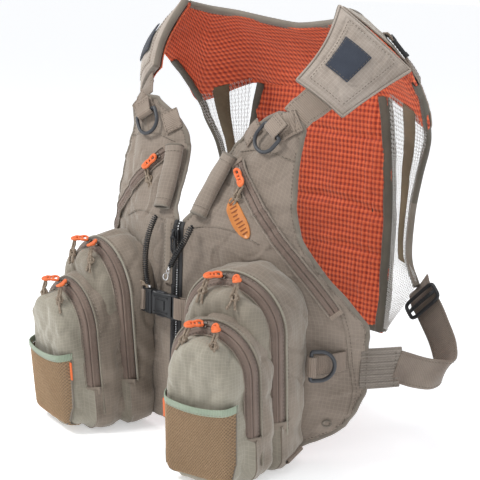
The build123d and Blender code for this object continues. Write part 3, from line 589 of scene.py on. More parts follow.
def bevel_box(acc, size, o, x, y, z, mat, bev=0.8, seg=3, s=1, taper=1.0):
    """Rounded block centred at o with axes x, y, z."""
    bm = bmesh.new()
    bmesh.ops.create_cube(bm, size=1.0)
    for v in bm.verts:
        v.co = Vector((v.co.x * size[0], v.co.y * size[1], v.co.z * size[2]))
        if v.co.z > 0:
            v.co.x *= taper
            v.co.y *= taper
    bmesh.ops.bevel(bm, geom=bm.edges[:], offset=bev, segments=seg, affect="EDGES", profile=0.6)
    bm.verts.index_update()
    V = np.array([v.co[:] for v in bm.verts])
    F = [tuple(v.index for v in f.verts) for f in bm.faces]
    bm.free()
    x, y, z = (np.asarray(k, float) for k in (x, y, z))
    W = np.asarray(o, float) + V[:, :1] * x + V[:, 1:2] * y + V[:, 2:3] * z
    if np.cross(x, y) @ z < 0:
        F = [f[::-1] for f in F]
    acc.add(W, F, mat, V[:, :2] / 1000, s)


# ------------------------------------------------------------ the vest's surfaces, working frame
def Y(x, z):
    x, z = np.abs(np.asarray(x, float)), np.asarray(z, float)
    lean = 81.0 * (np.maximum(z - 255.0, 0.0) / 120.0) ** 1.2 / (1.0 + (x / 80.0) ** 2)
    return -135.0 + 0.00158 * x * x + 1.958e-8 * x ** 4 + lean


def nrm(x, z):
    yx = (Y(x + 1, z) - Y(x - 1, z)) / 2
    yz = (Y(x, z + 1) - Y(x, z - 1)) / 2
    return unit(np.stack([yx, -np.ones_like(yx), yz], -1))


def on(x, z, off=0.0):
    x, z = np.asarray(x, float), np.asarray(z, float)
    p = np.stack([x + 0 * z, Y(x, z), z + 0 * x], -1)
    return p + nrm(x + 0 * z, z + 0 * x) * (off[..., None] if isinstance(off, np.ndarray) else off)


X_IN = {14: 4, 262: 4, 275: 15, 300: 20, 315: 23, 340: 31, 357: 42, 375: 62, 388: 85, 394: 97}
X_OUT = {14: 150, 30: 180, 42: 191, 55: 197, 72: 202, 83: 205, 159: 204, 192: 186, 213: 171, 237: 157, 259: 145,
         292: 136, 323: 133, 357: 131, 381: 133, 388: 122, 394: 113}


def tab(t, z, w=5.0):
    k = sorted(t)
    v = [t[i] for i in k]
    return sum(np.interp(np.asarray(z, float) + d, k, v) for d in np.linspace(-w, w, 7)) / 7.0


SPLAY = math.radians(12.0)
PACK_O = np.array([105.0, -147.8, 2.5])
EZ = np.array([0.0, 0.0, 1.0])
U = np.array([math.cos(SPLAY), math.sin(SPLAY), 0.0])
W0 = np.array([math.sin(SPLAY), -math.cos(SPLAY), 0.0])
TILT = math.radians(5.0)
W = W0 * math.cos(TILT) - EZ * math.sin(TILT)
V = W0 * math.sin(TILT) + EZ * math.cos(TILT)
BIG = dict(hb=62.5, r=60.5, zc=162.0, zb=1.0, rb=16.0, w0=0.0, w1=24.0)
SML = dict(hb=54.0, r=52.0, zc=129.5, zb=3.0, rb=22.0, w0=44.0, w1=75.0)
ZIP_END = 60.0
BAND = 9.0


def pk(u, w, z):
    u, w, z = np.broadcast_arrays(np.asarray(u, float), np.asarray(w, float), np.asarray(z, float))
    return PACK_O + u[..., None] * U + w[..., None] * W + z[..., None] * V


def outline(d, n=168):
    """Tombstone outline (u, z) and outward normals, n points from the bottom middle round by +u, with arc length."""
    hb, r, zc, zb, rb = d["hb"], d["r"], d["zc"], d["zb"], d["rb"]
    h = [(0.0, zb), (hb - rb, zb)]
    h += [(hb - rb + rb * math.sin(a), zb + rb - rb * math.cos(a)) for a in np.linspace(0, PI / 2, 12)[1:]]
    h += [(hb + (r - hb) * t, zb + rb + (zc - zb - rb) * t) for t in (0.25, 0.5, 0.75)]
    h += [(r * math.cos(a), zc + r * math.sin(a)) for a in np.linspace(0, PI / 2, 26)]
    p = np.array(h + [(-u, z) for u, z in h[-2:0:-1]])
    q = np.concatenate([p, p[:1]])
    L = np.concatenate([[0], np.cumsum(np.linalg.norm(np.diff(q, axis=0), axis=1))])
    at = np.linspace(0, L[-1], n + 1)[:-1]
    o = np.stack([np.interp(at, L, q[:, 0]), np.interp(at, L, q[:, 1])], 1)
    t = np.roll(o, -1, 0) - np.roll(o, 1, 0)
    nn = np.stack([t[:, 1], -t[:, 0]], 1)
    nn /= np.linalg.norm(nn, axis=1, keepdims=True)
    return o, nn, at


def inset(d, o, nn, k):
    """Outline moved in by k (array per point or number); out when negative."""
    hb = d["hb"]
    zt = d["zc"] + d["r"]
    zm = (zt + d["zb"]) / 2
    hz = (zt - d["zb"]) / 2
    k = np.asarray(k, float) * np.ones(len(o))
    kz = k * (1 - 0.5 * np.clip(-nn[:, 1], 0, 1))
    small = np.clip((6.0 - k) / 4.0, 0, 1)[:, None]
    a = o - nn * kz[:, None]
    b = np.stack([o[:, 0] * (1 - k / hb), zm + (o[:, 1] - zm) * (1 - kz / hz)], 1)
    return a * small + b * (1 - small)


def fabric_rings(acc, d, prof, mat, s, seed, amp=0.7, cap=None, inner=None, back=None, uvm="unroll", sag=0.0, cre=0.0, scale=46.0):
    """Rings of a pocket wall. prof = [(inset, w)], the last ring may be closed with cap=(crown, rings). Wrinkled along its own normal."""
    o, nn, at = outline(d)
    g = waves(seed)
    g2 = waves(seed + 50, 7)
    rings, wl, plan = [], [], []
    run = 0.0
    prev = None
    for k, w in prof:
        q = inset(d, o, nn, k)
        wv = w(q[:, 0], q[:, 1]) if callable(w) else np.full(len(q), float(w))
        rings.append(pk(q[:, 0], wv, q[:, 1]))
        plan.append(q)
        if prev is not None:
            run += np.linalg.norm(rings[-1] - rings[-2], axis=1).mean()
        wl.append(run)
        prev = q
    nside = len(rings)
    if cap:
        crown, nr = cap
        k0, w1 = prof[-1]
        zt, zb = d["zc"] + d["r"], d["zb"]
        zm = (zt + zb) / 2 - 6
        for t in np.linspace(0, 1, nr + 1)[1:]:
            q = plan[nside - 1] * (1 - t) + np.array([0.0, zm]) * t
            if t == 1.0:
                q = q * 0.999 + plan[nside - 1] * 0.001
            c = crown * (1 - (1 - t) ** 2)
            rings.append(pk(q[:, 0], w1 + c, q[:, 1]))
            plan.append(q)
            wl.append(wl[-1] + np.linalg.norm(rings[-1] - rings[-2], axis=1).mean())
    G = np.stack(rings)
    N = gnormals(G, wrap=True)
    mid = pk(0.0, (prof[0][1] if not callable(prof[0][1]) else 0.0), d["zc"])
    if (N[1] * (G[1] - mid)).sum(1).mean() < 0:
        N = -N
    if cap:
        N[-1] = W
        N[-2] = W
    fade = np.ones(len(rings))
    fade[0] = 0.0
    fade[1] = 0.5
    h = amp * g(G, scale) + 0.45 * amp * g2(G * np.array([1.0, 1.0, 0.6]), scale * 0.36)
    if cre:
        h = h - cre * crease(g2, G, scale * 1.5, 0.2)
    if sag:
        h = h + sag * np.exp(-((G[..., 2] - 45.0) / 45.0) ** 2)
    G = G + N * (h * fade[:, None])[..., None]
    # unrolled chart
    if uvm == "unroll":
        base = plan[nside - 1]
        uv = []
        for i in range(len(rings)):
            if i >= nside:
                uv.append(plan[i])
            else:
                uv.append(base + nn * (wl[nside - 1] - wl[i]))
        uv = np.stack(uv) / 1000.0
    else:
        L = at[None, :] * np.ones((len(rings), 1))
        uv = np.stack([L, np.array(wl)[:, None] * np.ones((1, len(o)))], -1) / 1000.0
    F = grid_faces(len(rings), len(o), wrap=True)
    if uvm != "unroll":
        pass
    t = G.reshape(-1, 3)
    c = 0
    for f in F[:len(o)]:
        c += np.cross(t[f[1]] - t[f[0]], t[f[2]] - t[f[0]]) @ N.reshape(-1, 3)[f[0]]
    fl = c < 0
    if fl:
        F = [f[::-1] for f in F]
    V = t
    if cap:
        V = np.concatenate([t, [G[-1].mean(0)]])
        uv = np.concatenate([uv.reshape(-1, 2), [uv[-1].mean(0)]])
        k, b0 = len(t), (len(rings) - 1) * len(o)
        for j in range(len(o)):
            j2 = (j + 1) % len(o)
            F.append((b0 + j, b0 + j2, k) if not fl else (k, b0 + j2, b0 + j))
    acc.add(V, F, mat, uv, s)
    if inner:
        Gi = G - N * inner
        Fi = [f[::-1] for f in (F if not cap else F[:-len(o)])]
        Vi = Gi.reshape(-1, 3)
        if cap:
            k, b0 = len(Vi), (len(rings) - 1) * len(o)
            Vi = np.concatenate([Vi, [Gi[-1].mean(0)]])
            for j in range(len(o)):
                j2 = (j + 1) % len(o)
                Fi.append((k, b0 + j2, b0 + j) if not fl else (b0 + j, b0 + j2, k))
        acc.add(Vi, Fi, back or LINING, uv, s)
        R = np.stack([G[0], Gi[0]])
        acc.add(R, grid_faces(2, len(o), wrap=True, flip=not fl), mat, None, s)
        if not cap:
            R = np.stack([G[-1], Gi[-1]])
            acc.add(R, grid_faces(2, len(o), wrap=True, flip=fl), mat, None, s)
    return G, N


def arch_path(d, w, k=0.0, z0=ZIP_END, n=220):
    """Points along the zip's arch at depth w, moved in by k."""
    o, nn, at = outline(d, 480)
    q = inset(d, o, nn, k)
    m = [i for i in range(len(o)) if o[i, 1] >= z0]
    P = pk(q[m, 0], w, q[m, 1])
    N = nn[m, 0][:, None] * U + nn[m, 1][:, None] * V
    L = np.concatenate([[0], np.cumsum(np.linalg.norm(np.diff(P, axis=0), axis=1))])
    a = np.linspace(0, L[-1], n)
    return (np.stack([np.interp(a, L, P[:, i]) for i in range(3)], 1), unit(np.stack([np.interp(a, L, N[:, i]) for i in range(3)], 1)))


def chamfer(d, w0, front):
    """Centre line, outward and sideways directions of half a pocket zip, on the pocket's rounded front edge."""
    P, R = arch_path(d, w0 + 0.2, 2.2)
    if front:
        return P, unit(R * 0.66 + W * 0.75), unit(W * 0.66 - R * 0.75)
    return P, unit(R * 0.90 + W * 0.43), unit(-W * 0.90 + R * 0.43)


def low_mix(d, hi, lo):
    """hi above the zip's ends, lo under them."""
    z = outline(d)[0][:, 1]
    t = np.clip((ZIP_END + 1.0 - z) / 5.0, 0, 1)
    return hi * (1 - t) + lo * t


def zip_half(acc, P, N, B, s, body=None, half=8.8, lift=1.6, coil=True, slope=0.28, mat=None):
    """Half of a reverse-coil zip along P: tape folded at the middle, faint coil ribs, outer edge turned under. B = sideways, away from the middle."""
    L = np.concatenate([[0], np.cumsum(np.linalg.norm(np.diff(P, axis=0), axis=1))])
    n = max(12, int(L[-1] / 0.62))
    a = np.linspace(0, L[-1], n)
    f = lambda A: np.stack([np.interp(a, L, A[:, k]) for k in range(3)], 1)
    P, N, B = f(P), unit(f(N)), unit(f(B))
    rib = 0.5 + 0.5 * np.cos(2 * PI * a / 2.4)
    prof = [(0.25, -0.9, 0), (0.3, 0.35, 0), (0.75, 1.05, 0.12), (1.7, 1.42, 0.3), (2.7, 1.34, 0.24), (3.2, 1.02, 0.05), (4.8, 1.15, 0), (half - 1.0, 0.95, 0), (half, 0.5, 0), (half + 0.1, -0.7, 0)]
    rows = []
    for b, h, c in prof:
        rows.append(P + B * b + N * (h + lift - 1.2 + (c * rib if coil else 0.0) - max(0, b - 2) * slope * 0.5)[:, None] if not np.isscalar(h + lift - 1.2 + (c * rib if coil else 0.0)) else P + B * b + N * (h + lift - 1.2))
    G = np.stack(rows, 1)
    uv = np.zeros(G.shape[:2] + (2,))
    uv[..., 0] = np.array([p[0] for p in prof])[None]
    uv[..., 1] = a[:, None]
    k = np.cross(G[1, 4] - G[0, 4], G[0, 5] - G[0, 4]) @ N[0]
    acc.add(G, grid_faces(len(a), len(prof), flip=k > 0), mat or TAPE, uv / 1000.0, s)
    # end walls
    for e, fl in ((0, k > 0), (-1, k <= 0)):
        row = G[e]
        f = tuple(range(len(prof)))
        acc.add(row, [f[::-1] if fl else f], mat or TAPE, None, s)
    return P, N, B, a


def knot_cord(acc, A, down, side, s, seed, ln=30.0, r=1.45):
    """A doubled cord from a pull: two strands, a tight overhand knot, and two loose ends."""
    rg = np.random.RandomState(seed)
    down, side = unit(down), unit(side)
    fw = unit(np.cross(side, down))
    for k in (-1, 1):
        K = A + down * ln * 0.52 + side * rg.uniform(-2, 2)
        pts = [A + side * 0.8 * k, A + down * ln * 0.18 + side * (2.3 * k + rg.uniform(-1, 1)) + fw * 0.8, A + down * ln * 0.36 + side * 1.8 * k]
        for a in np.linspace(0, 1.65 * PI, 8):
            pts.append(K + side * (3.7 * math.cos(a) * k) + down * (3.3 * math.sin(a)) + fw * (1.9 * math.sin(2 * a + k) + 1.1))
        pts += [K + down * ln * 0.18 + side * 2.1 * k, A + down * ln * (0.88 + 0.14 * rg.rand()) + side * (4.4 * k + rg.uniform(-2.0, 2.0)) + fw * rg.uniform(-0.4, 1.0)]
        P = smooth_path(pts, 64)
        rr = np.full(64, r)
        rr[-3:] = r * np.array([1.05, 1.15, 0.95])
        tubeg(acc, P, rr, PARA, 7, s=s)


def orange_pull(acc, A, B, nr, s, wd=7.2, r=1.75, seed=0):
    """Moulded loop pull from A to B: a long link pinched in the middle, with grip ridges at its end."""
    rg = np.random.RandomState(seed)
    A, B = np.asarray(A, float), np.asarray(B, float)
    t = unit(B - A)
    nr = unit(np.asarray(nr, float) - t * (np.asarray(nr, float) @ t))
    w = np.cross(t, nr)
    L = np.linalg.norm(B - A)
    pts = []
    for a in np.linspace(0, 2 * PI, 33)[:-1]:
        c, q = math.cos(a), math.sin(a)
        x = L / 2 - L / 2 * np.sign(c) * abs(c) ** 0.55
        y = wd / 2 * np.sign(q) * abs(q) ** 0.8 * (0.62 + 0.38 * abs(c) ** 0.7 + 0.22 * (x / L))
        pts.append(A + t * x + w * y + nr * (0.9 * math.sin(2 * a + seed) + 0.6))
    rr = np.array([r * (1.0 + 0.12 * math.cos(6 * a)) for a in np.linspace(0, 2 * PI, 33)[:-1]])
    tubeg(acc, smooth_path(pts, 64, closed=True), np.interp(np.linspace(0, 1, 64), np.linspace(0, 1, 32), rr), PULL, 10, closed=True, s=s)
    # crossbar and grip end
    for x in (0.34, 0.56):
        tubeg(acc, np.array([A + t * L * x - w * wd * 0.42, A + t * L * x + nr * 1.3, A + t * L * x + w * wd * 0.42]), r * 0.85, PULL, 8, s=s)
    for x in (0.76, 0.85, 0.94):
        tubeg(acc, smooth_path([A + t * L * x - w * wd * 0.34 + nr * 0.4, A + t * L * x + nr * 1.9, A + t * L * x + w * wd * 0.34 + nr * 0.4], 9), r * 0.72, PULL, 8, s=s)


def slider_body(acc, c, t, n, s, big=1.0):
    """Metal zip slider: wedge plates, a bridge and its bail ring. t along the zip, n outwards."""
    t, n = unit(t), unit(n)
    w = np.cross(n, t)
    bevel_box(acc, (8.6 * big, 7.6 * big, 1.5), c + n * 1.6, t, w, n, GUN, 0.6, 3, s, taper=0.9)
    bevel_box(acc, (5.0 * big, 5.2 * big, 1.2), c + n * 0.7 + t * 1.2, t, w, n, GUN, 0.4, 2, s)
    P = smooth_path([c - t * 3.2 + n * 2.0, c - t * 2.6 + n * 3.9, c + n * 4.7, c + t * 2.6 + n * 3.9, c + t * 3.2 + n * 2.0], 16)
    tubeg(acc, P, 0.8, GUN, 8, s=s, flat=1.5, wide=w)


# ------------------------------------------------------------ the coiled lanyards, made first
def route_points(pts, body, name, n=400):
    """Points along the route's own NURBS spline."""
    cu = bpy.data.curves.new(name, "CURVE")
    cu.dimensions = "3D"
    sp = cu.splines.new("NURBS")
    sp.points.add(len(pts) - 1)
    for i, p in enumerate(pts):
        sp.points[i].co = (*to(p), 1.0)
    sp.order_u = 3
    sp.use_endpoint_u = True
    sp.resolution_u = 40
    o = bpy.data.objects.new(name, cu)
    bpy.context.scene.collection.objects.link(o)
    bpy.context.view_layer.update()
    me = bpy.data.meshes.new_from_object(o)
    P = np.array([v.co[:] for v in me.vertices]) * 1000.0 + ORIGIN
    bpy.data.meshes.remove(me)
    bpy.data.objects.remove(o)
    L = np.concatenate([[0], np.cumsum(np.linalg.norm(np.diff(P, axis=0), axis=1))])
    a = np.linspace(0, L[-1], n)
    return np.stack([np.interp(a, L, P[:, i]) for i in range(3)], 1)


RL = [(-29.0, -142.5, 266.0), (-32.5, -147.5, 252.0), (-36.5, -149.5, 236.0), (-38.5, -149.8, 219.0), (-38.0, -149.8, 202.0), (-34.5, -150.3, 187.0), (-31.0, -151.5, 181.2)]
LL = [(29.0, -142.5, 263.5), (25.5, -147.5, 250.0), (19.0, -150.5, 236.5), (10.5, -151.5, 223.5), (4.0, -151.8, 211.0)]
LANYARDS = {}
for nm_, pts_, body_, pitch_ in (("right_lanyard", RL, "right_front", 2.55), ("left_lanyard", LL, "left_front", 2.7)):
    P_ = route_points(pts_, body_, nm_ + "_route")
    ln_ = plen(P_)
    turns_ = ln_ / pitch_
    T_ = unit(np.gradient(P_, axis=0))
    a_ = np.cross(T_[0], [0.2, 0.9, 0.1])
    fr_ = []
    for t_ in T_:
        a_ = a_ - t_ * (a_ @ t_)
        a_ = a_ / np.linalg.norm(a_)
        fr_.append(a_)
    fr_ = np.array(fr_)
    n_ = int(turns_ * 16)
    q_ = np.linspace(0, 1, n_)
    ii_ = np.linspace(0, 1, len(P_))
    gi_ = lambda A: np.stack([np.interp(q_, ii_, A[:, k]) for k in range(3)], 1)
    c_, A_, Tt_ = gi_(P_), unit(gi_(fr_)), unit(gi_(T_))
    B_ = np.cross(Tt_, A_)
    th_ = q_ * turns_ * 2 * PI
    rad_ = 2.85 * np.clip(np.minimum(q_, 1 - q_) * ln_ / 2.2, 0.12, 1.0)
    H_ = c_ + A_ * (rad_ * np.cos(th_))[:, None] + B_ * (rad_ * np.sin(th_))[:, None]
    acc_ = Acc()
    tubeg(acc_, H_, 0.86, COIL, 7)
    ob_ = acc_.make(nm_ + "_coil", body_, repl=(nm_,))
    LANYARDS[nm_] = (ob_, P_, ln_)

# snap clip on the free end of the left lanyard
P_ = LANYARDS["left_lanyard"][1]
e_, dn_ = P_[-1], unit(P_[-1] - P_[-8])
sd_ = unit(np.cross(dn_, [0, 1, 0]))
acc_ = Acc()
tubeg(acc_, np.array([e_ + dn_ * 0.3, e_ + dn_ * 1.0, e_ + dn_ * 3.2, e_ + dn_ * 3.9]), np.array([1.9, 2.5, 2.5, 1.7]), STEEL, 16)
k_ = e_ + dn_ * 6.3
tubeg(acc_, smooth_path([k_ + sd_ * 2.2 * math.cos(a) + dn_ * 2.2 * math.sin(a) for a in np.linspace(0, 2 * PI, 13)[:-1]], 24, True), 0.62, STEEL, 8, closed=True)
h_ = [k_ + dn_ * 2.0, k_ + dn_ * 3.6 + sd_ * 2.6, k_ + dn_ * 7.0 + sd_ * 3.9, k_ + dn_ * 10.5 + sd_ * 2.8, k_ + dn_ * 11.8, k_ + dn_ * 10.2 - sd_ * 2.7, k_ + dn_ * 7.0 - sd_ * 3.2]
tubeg(acc_, smooth_path(h_, 40), 0.95, STEEL, 10)
tubeg(acc_, smooth_path([k_ + dn_ * 3.0 - sd_ * 0.4, k_ + dn_ * 4.6 - sd_ * 2.2, k_ + dn_ * 7.4 - sd_ * 3.1, k_ + dn_ * 9.2 - sd_ * 2.5], 18), 0.7, STEEL, 8, flat=0.6, wide=np.array([0, 1.0, 0]))
CLIP = acc_.make("snap_clip", "left_front", repl=("lanyard_clip",))


# ------------------------------------------------------------ one side of the front
ZIP_C = np.array([58.2995, 92.766, 243.787])
ZIP_N = unit(np.array([0.7313, 0.2847, 0.6198]))
ZA = on(56.0, 334.0, 2.2)
ZIP_SPAN = 57.96


def zip_at(deg):
    r = ZA - ZIP_C
    a = math.radians(deg)
    p = r * math.cos(a) + np.cross(ZIP_N, r) * math.sin(a)
    return ZIP_C + p, unit(np.cross(ZIP_N, p))


SIZES = {}


def cloth_size(G):
    """Flat width, length and area of a grid of cloth, in metres, as if it were laid out."""
    G = np.asarray(G, float) / 1000.0
    w = np.linalg.norm(np.diff(G, axis=1), axis=2).sum(1).max()
    ln = np.linalg.norm(np.diff(G, axis=0), axis=2).sum(0).max()
    d1, d2 = G[1:, 1:] - G[:-1, :-1], G[1:, :-1] - G[:-1, 1:]
    area = 0.5 * np.linalg.norm(np.cross(d1, d2), axis=2).sum()
    return float(w), float(ln), float(min(area, w * ln))


def build_side(side):
    s = 1 if side == "left" else -1
    sd = 11 if s > 0 else 31
    body = f"{side}_front"
    nn = lambda x: f"{side}_{x}"
    g1, g2, g3 = waves(sd, 9), waves(sd + 1, 7), waves(sd + 2, 6, (1, 1, 0.35))

    # zip line on the panel, in (x, z)
    zl = np.array([zip_at(a)[0] for a in np.linspace(0, ZIP_SPAN, 40)])

    def ripple(x, z):
        p = np.stack([x + 0 * z, z * 0 + x * 0.3, z + 0 * x], -1)
        h = 1.5 * g1(p, 70.0) + 0.9 * g2(p, 24.0) - 1.5 * crease(g3, p, 96.0, 0.12) + 1.3 * crease(g2, p, 62.0, 0.10) - 0.9 * crease(g1, p, 40.0, 0.10)
        wing = np.clip((x - 168.0) / 22.0, 0, 1) * np.clip((170 - z) / 40.0, 0, 1)
        h = h + wing * (1.6 * g3(p, 44.0) + 0.8 * g2(p, 17.0))
        # puckers beside the zip, and drag lines from its lower end to the belt
        dz = np.sqrt(np.min((np.asarray(x)[..., None] - zl[:, 0]) ** 2 + (np.asarray(z)[..., None] - zl[:, 2]) ** 2, -1))
        h = h + 0.5 * np.exp(-(dz / 16.0) ** 2) * np.sin((x * 0.55 + z * 0.9) * 0.42 + 1.3)
        h = h - 1.2 * np.exp(-((dz - 12.0) / 4.5) ** 2) * 0.5
        up = np.clip((z - 320.0) / 40.0, 0, 1)
        h = h + up * 0.8 * np.sin((x * 0.8 - z * 0.5) * 0.28)
        return np.clip(h, -3.0, 3.2) * np.clip((x - 9.0) / 14.0, 0, 1)

    def P(x, z, off=0.0):
        x, z = np.broadcast_arrays(np.asarray(x, float), np.asarray(z, float))
        return on(x, z, ripple(x, z) + off)

    zr = np.concatenate([np.linspace(14, 120, 46), np.linspace(120, 394, 128)[1:]])
    tt = np.linspace(0, 1, 92)
    xi, xo = tab(X_IN, zr, 4), tab(X_OUT, zr, 4)
    xi[:60] = np.where(zr[:60] < 250, 4.0, xi[:60])
    X = xi[:, None] + (xo - xi)[:, None] * tt[None]
    Z = np.repeat(zr[:, None], len(tt), 1)
    G = P(X, Z)
    N = gnormals(G)
    N = N if N[5, 5, 1] < 0 else -N
    ac = Acc()
    slab(ac, G, -2.2, 0.0, KHAKI, N, back=LINING, s=s)
    # bound edges: neck, top, armhole and wing
    edge = [(xi[i], zr[i]) for i in range(len(zr)) if zr[i] > 262] + [(xi[-1] * (1 - t) + xo[-1] * t, zr[-1]) for t in (0.3, 0.7)] + [(xo[i], zr[i]) for i in range(len(zr) - 1, -1, -1)] + [(xo[0] - d, zr[0]) for d in (12, 30, 52)]
    e = np.array(edge)
    E = smooth_path(P(e[:, 0], e[:, 1], -1.1), 420)
    En = np.array([nrm(q[0], q[2]) for q in E])
    tubeg(ac, E, 3.1, BIND, 12, s=s, flat=0.58, wide=np.cross(unit(np.gradient(E, axis=0)), En))
    inn = np.cross(unit(np.gradient(E, axis=0)), En)
    cenp = G[60, 45]
    inn = inn * (np.sign(((cenp - E) * inn).sum(1))[:, None])
    Q = smooth_path(E + inn * 3.6 + En * 1.5, 400)
    stitches(ac, Q, np.array([nrm(q[0], q[2]) for q in Q]), s)
    # seam beside the pack and the seam from the armhole to the belt
    for path in ([(183, 176), (188, 150), (192, 118), (196, 84), (193, 55)], [(52, 346), (78, 352), (104, 350), (128, 344)], [(10, 255), (40, 262), (74, 262), (104, 250)]):
        q = smooth_path(np.array([(a, 0, b) for a, b in path]), 70)
        L1 = P(q[:, 0], q[:, 2], 0.25)
        tubeg(ac, L1, 0.75, KHAKI_D, 7, s=s, flat=0.6)
        L2 = P(q[:, 0] + 2.6, q[:, 2], 0.25)
        stitches(ac, L2, nrm(L2[:, 0], L2[:, 2]), s)
    # eyelet near the wing's rounded foot
    ex, ez = float(tab(X_OUT, np.array(44.0), 4)) - 15.0, 44.0
    ring = np.array([on(np.array(ex + 3.6 * math.cos(a)), np.array(ez + 3.6 * math.sin(a)), 0.6 + float(ripple(np.array(ex), np.array(ez)))) for a in np.linspace(0, 2 * PI, 41)])
    tubeg(ac, ring, 1.1, BIND, 8, s=s, caps=False)
    SIZES[nn("front_cloth")] = cloth_size(G)
    ac.make(nn("front_cloth"), body, repl=(nn("front_panel"),))

    # chest zip in its welt, with a tack at its lower end
    ac = Acc()
    zp, zt = zip(*[zip_at(a) for a in np.linspace(0.6, ZIP_SPAN - 0.6, 60)])
    zp, zt = np.array(zp), np.array(zt)
    base = P(zp[:, 0], zp[:, 2], 1.1)
    zn = nrm(zp[:, 0], zp[:, 2])
    zt = unit(np.gradient(base, axis=0))
    zb = np.cross(zn, zt)
    for k in (1, -1):
        zip_half(ac, base, zn, zb * k, s, half=7.2, lift=1.3, slope=0.1)
        rail = smooth_path(base + zb * k * 8.0 + zn * 0.6, 120)
        tubeg(ac, rail, 1.25, KHAKI, 8, s=s, flat=0.8)
        st = smooth_path(base + zb * k * 5.9 + zn * 1.6, 120)
        stitches(ac, st, nrm(st[:, 0], st[:, 2]), s)
    for e_, k in ((0, -1), (-1, 1)):
        bevel_box(ac, (5.0, 16.5, 2.0), base[e_] + zn[e_] * 1.6 + zt[e_] * k * 1.0, zt[e_], zb[e_], zn[e_], WEBT, 0.7, 3, s)
    arch, an, ab = chamfer(BIG, 0.0, False)
    zip_half(ac, arch, an, ab, s, half=8.8, lift=1.0)
    stitches(ac, arch + ab * 6.6 + an * 0.95, an, s)
    ac.make(nn("chest_zip"), body, repl=(nn("zip_tapes"),))

    # large pocket's wall behind the zip
    def w_panel(u, z):
        w = np.full(len(u), -35.0)
        for _ in range(24):
            p = pk(u, w, z)
            w = w - (Y(p[:, 0], p[:, 2]) - 0.6 - p[:, 1]) * 0.8
        return w
    ac = Acc()
    prof = []
    for t in np.linspace(0, 1, 17):
        prof.append((-2.4 - 3.4 * math.sin(PI * t), (lambda u, z, t=t: w_panel(u, z) * (1 - t) + np.where(z < ZIP_END, 1.5, -8.4) * t)))
    fabric_rings(ac, BIG, prof[::-1], KHAKI_D, s, sd + 3, amp=2.2, inner=2.0, uvm="wall", cre=2.2, scale=46)
    pp, pn = arch_path(BIG, -9.4, -3.1, z0=18)
    # the piping takes the lighter khaki copy with painted sheen
    tubeg(ac, pp, 1.25, KHAKI_SHEEN, 8, s=s)
    pp, pn = arch_path(BIG, -12.4, -3.4, z0=22)
    stitches(ac, pp, pn, s)
    # folded webbing loops sewn into the foot of the wall
    for uu, ww, dr in ((59.0, -16.0, 1), (59.0, -34.0, 1)):
        a_ = np.linspace(-1, 1, 13)
        yy = np.linspace(-8.5, 8.5, 9)
        foot = pk(np.array(uu), np.array(ww), np.array(10.0))
        G = foot + (9.5 * (1 - a_ ** 2) + 0.5)[:, None, None] * (U * dr)[None, None] + (4.6 * a_ + 0.8)[:, None, None] * V[None, None] + yy[None, :, None] * W[None, None]
        slab(ac, G, -0.7, 0.7, WEBT, s=s)
    ac.make(nn("large_pocket_wall"), body, repl=(nn("large_gusset"),))

    # large pocket's front half
    fb = nn("large_flap")
    ac = Acc()
    th = np.linspace(0, PI / 2, 12)
    def dome_prof(d, w0, w1, wide):
        lw = low_mix(d, 0.0, 1.0)
        prof = [(low_mix(d, 8.9, -1.4), (lambda u, z, c=low_mix(d, w0 + 4.6, w0 + 0.4): c)),
                (low_mix(d, 8.5, 0.2), (lambda u, z, c=low_mix(d, w0 + 6.4, w0 + 2.6): c)),
                (low_mix(d, 8.9, 4.6), (lambda u, z, c=low_mix(d, w0 + 7.8, w0 + 6.0): c))]
        for a in th[1:]:
            prof.append((9.0 + wide * (1 - math.cos(a)), w0 + 8.0 + (w1 - w0 - 8.0) * math.sin(a) ** 0.95))
        return prof
    fabric_rings(ac, BIG, dome_prof(BIG, 0.0, 24.0, 15.0), KHAKI_F, s, sd + 4, amp=2.1, cap=(-0.4, 26), inner=2.0, cre=2.0, scale=48)
    ac.make(nn("large_pocket_face"), fb, repl=(nn("large_face"),))
    ac = Acc()
    arch, an, ab = chamfer(BIG, 0.0, True)
    zip_half(ac, arch, an, ab, s, half=8.8, lift=1.0)
    stitches(ac, arch + ab * 6.6 + an * 0.95, an, s)
    tubeg(ac, arch + ab * 9.4 + an * 0.3, 0.8, KHAKI_D, 8, s=s)
    for e_ in (0, -1):
        bevel_box(ac, (9.0, 17.6, 2.0), arch[e_] - V * 3.6 + an[e_] * 0.9, V, unit(ab[e_] + 0.0), an[e_], KHAKI_D, 0.8, 3, s)
    ac.make(nn("large_zip_front"), fb, repl=(nn("large_face_zip"),))

    # small pocket
    ac = Acc()
    prof = []
    for t in np.linspace(0, 1, 14):
        prof.append((-2.4 - 3.0 * math.sin(PI * t), (lambda u, z, t=t: 4.0 * (1 - t) + np.where(z < ZIP_END, 45.5, 35.6) * t)))
    fabric_rings(ac, SML, prof[::-1], KHAKI_D, s, sd + 5, amp=2.0, inner=2.0, uvm="wall", cre=2.0, scale=40)
    pp, pn = arch_path(SML, 44.0 - 9.2, -3.0, z0=24)
    tubeg(ac, pp, 1.2, KHAKI_F, 8, s=s)
    pp, pn = arch_path(SML, 44.0 - 12.4, -3.3, z0=28)
    stitches(ac, pp, pn, s, THREAD_L)
    ac.make(nn("small_pocket_wall"), fb, repl=(nn("small_gusset"),))
    ac = Acc()
    arch, an, ab = chamfer(SML, 44.0, False)
    zip_half(ac, arch, an, ab, s, half=8.8, lift=1.0)
    stitches(ac, arch + ab * 6.6 + an * 0.95, an, s)
    ac.make(nn("small_zip_rear"), fb, repl=(nn("small_gusset_zip"),))

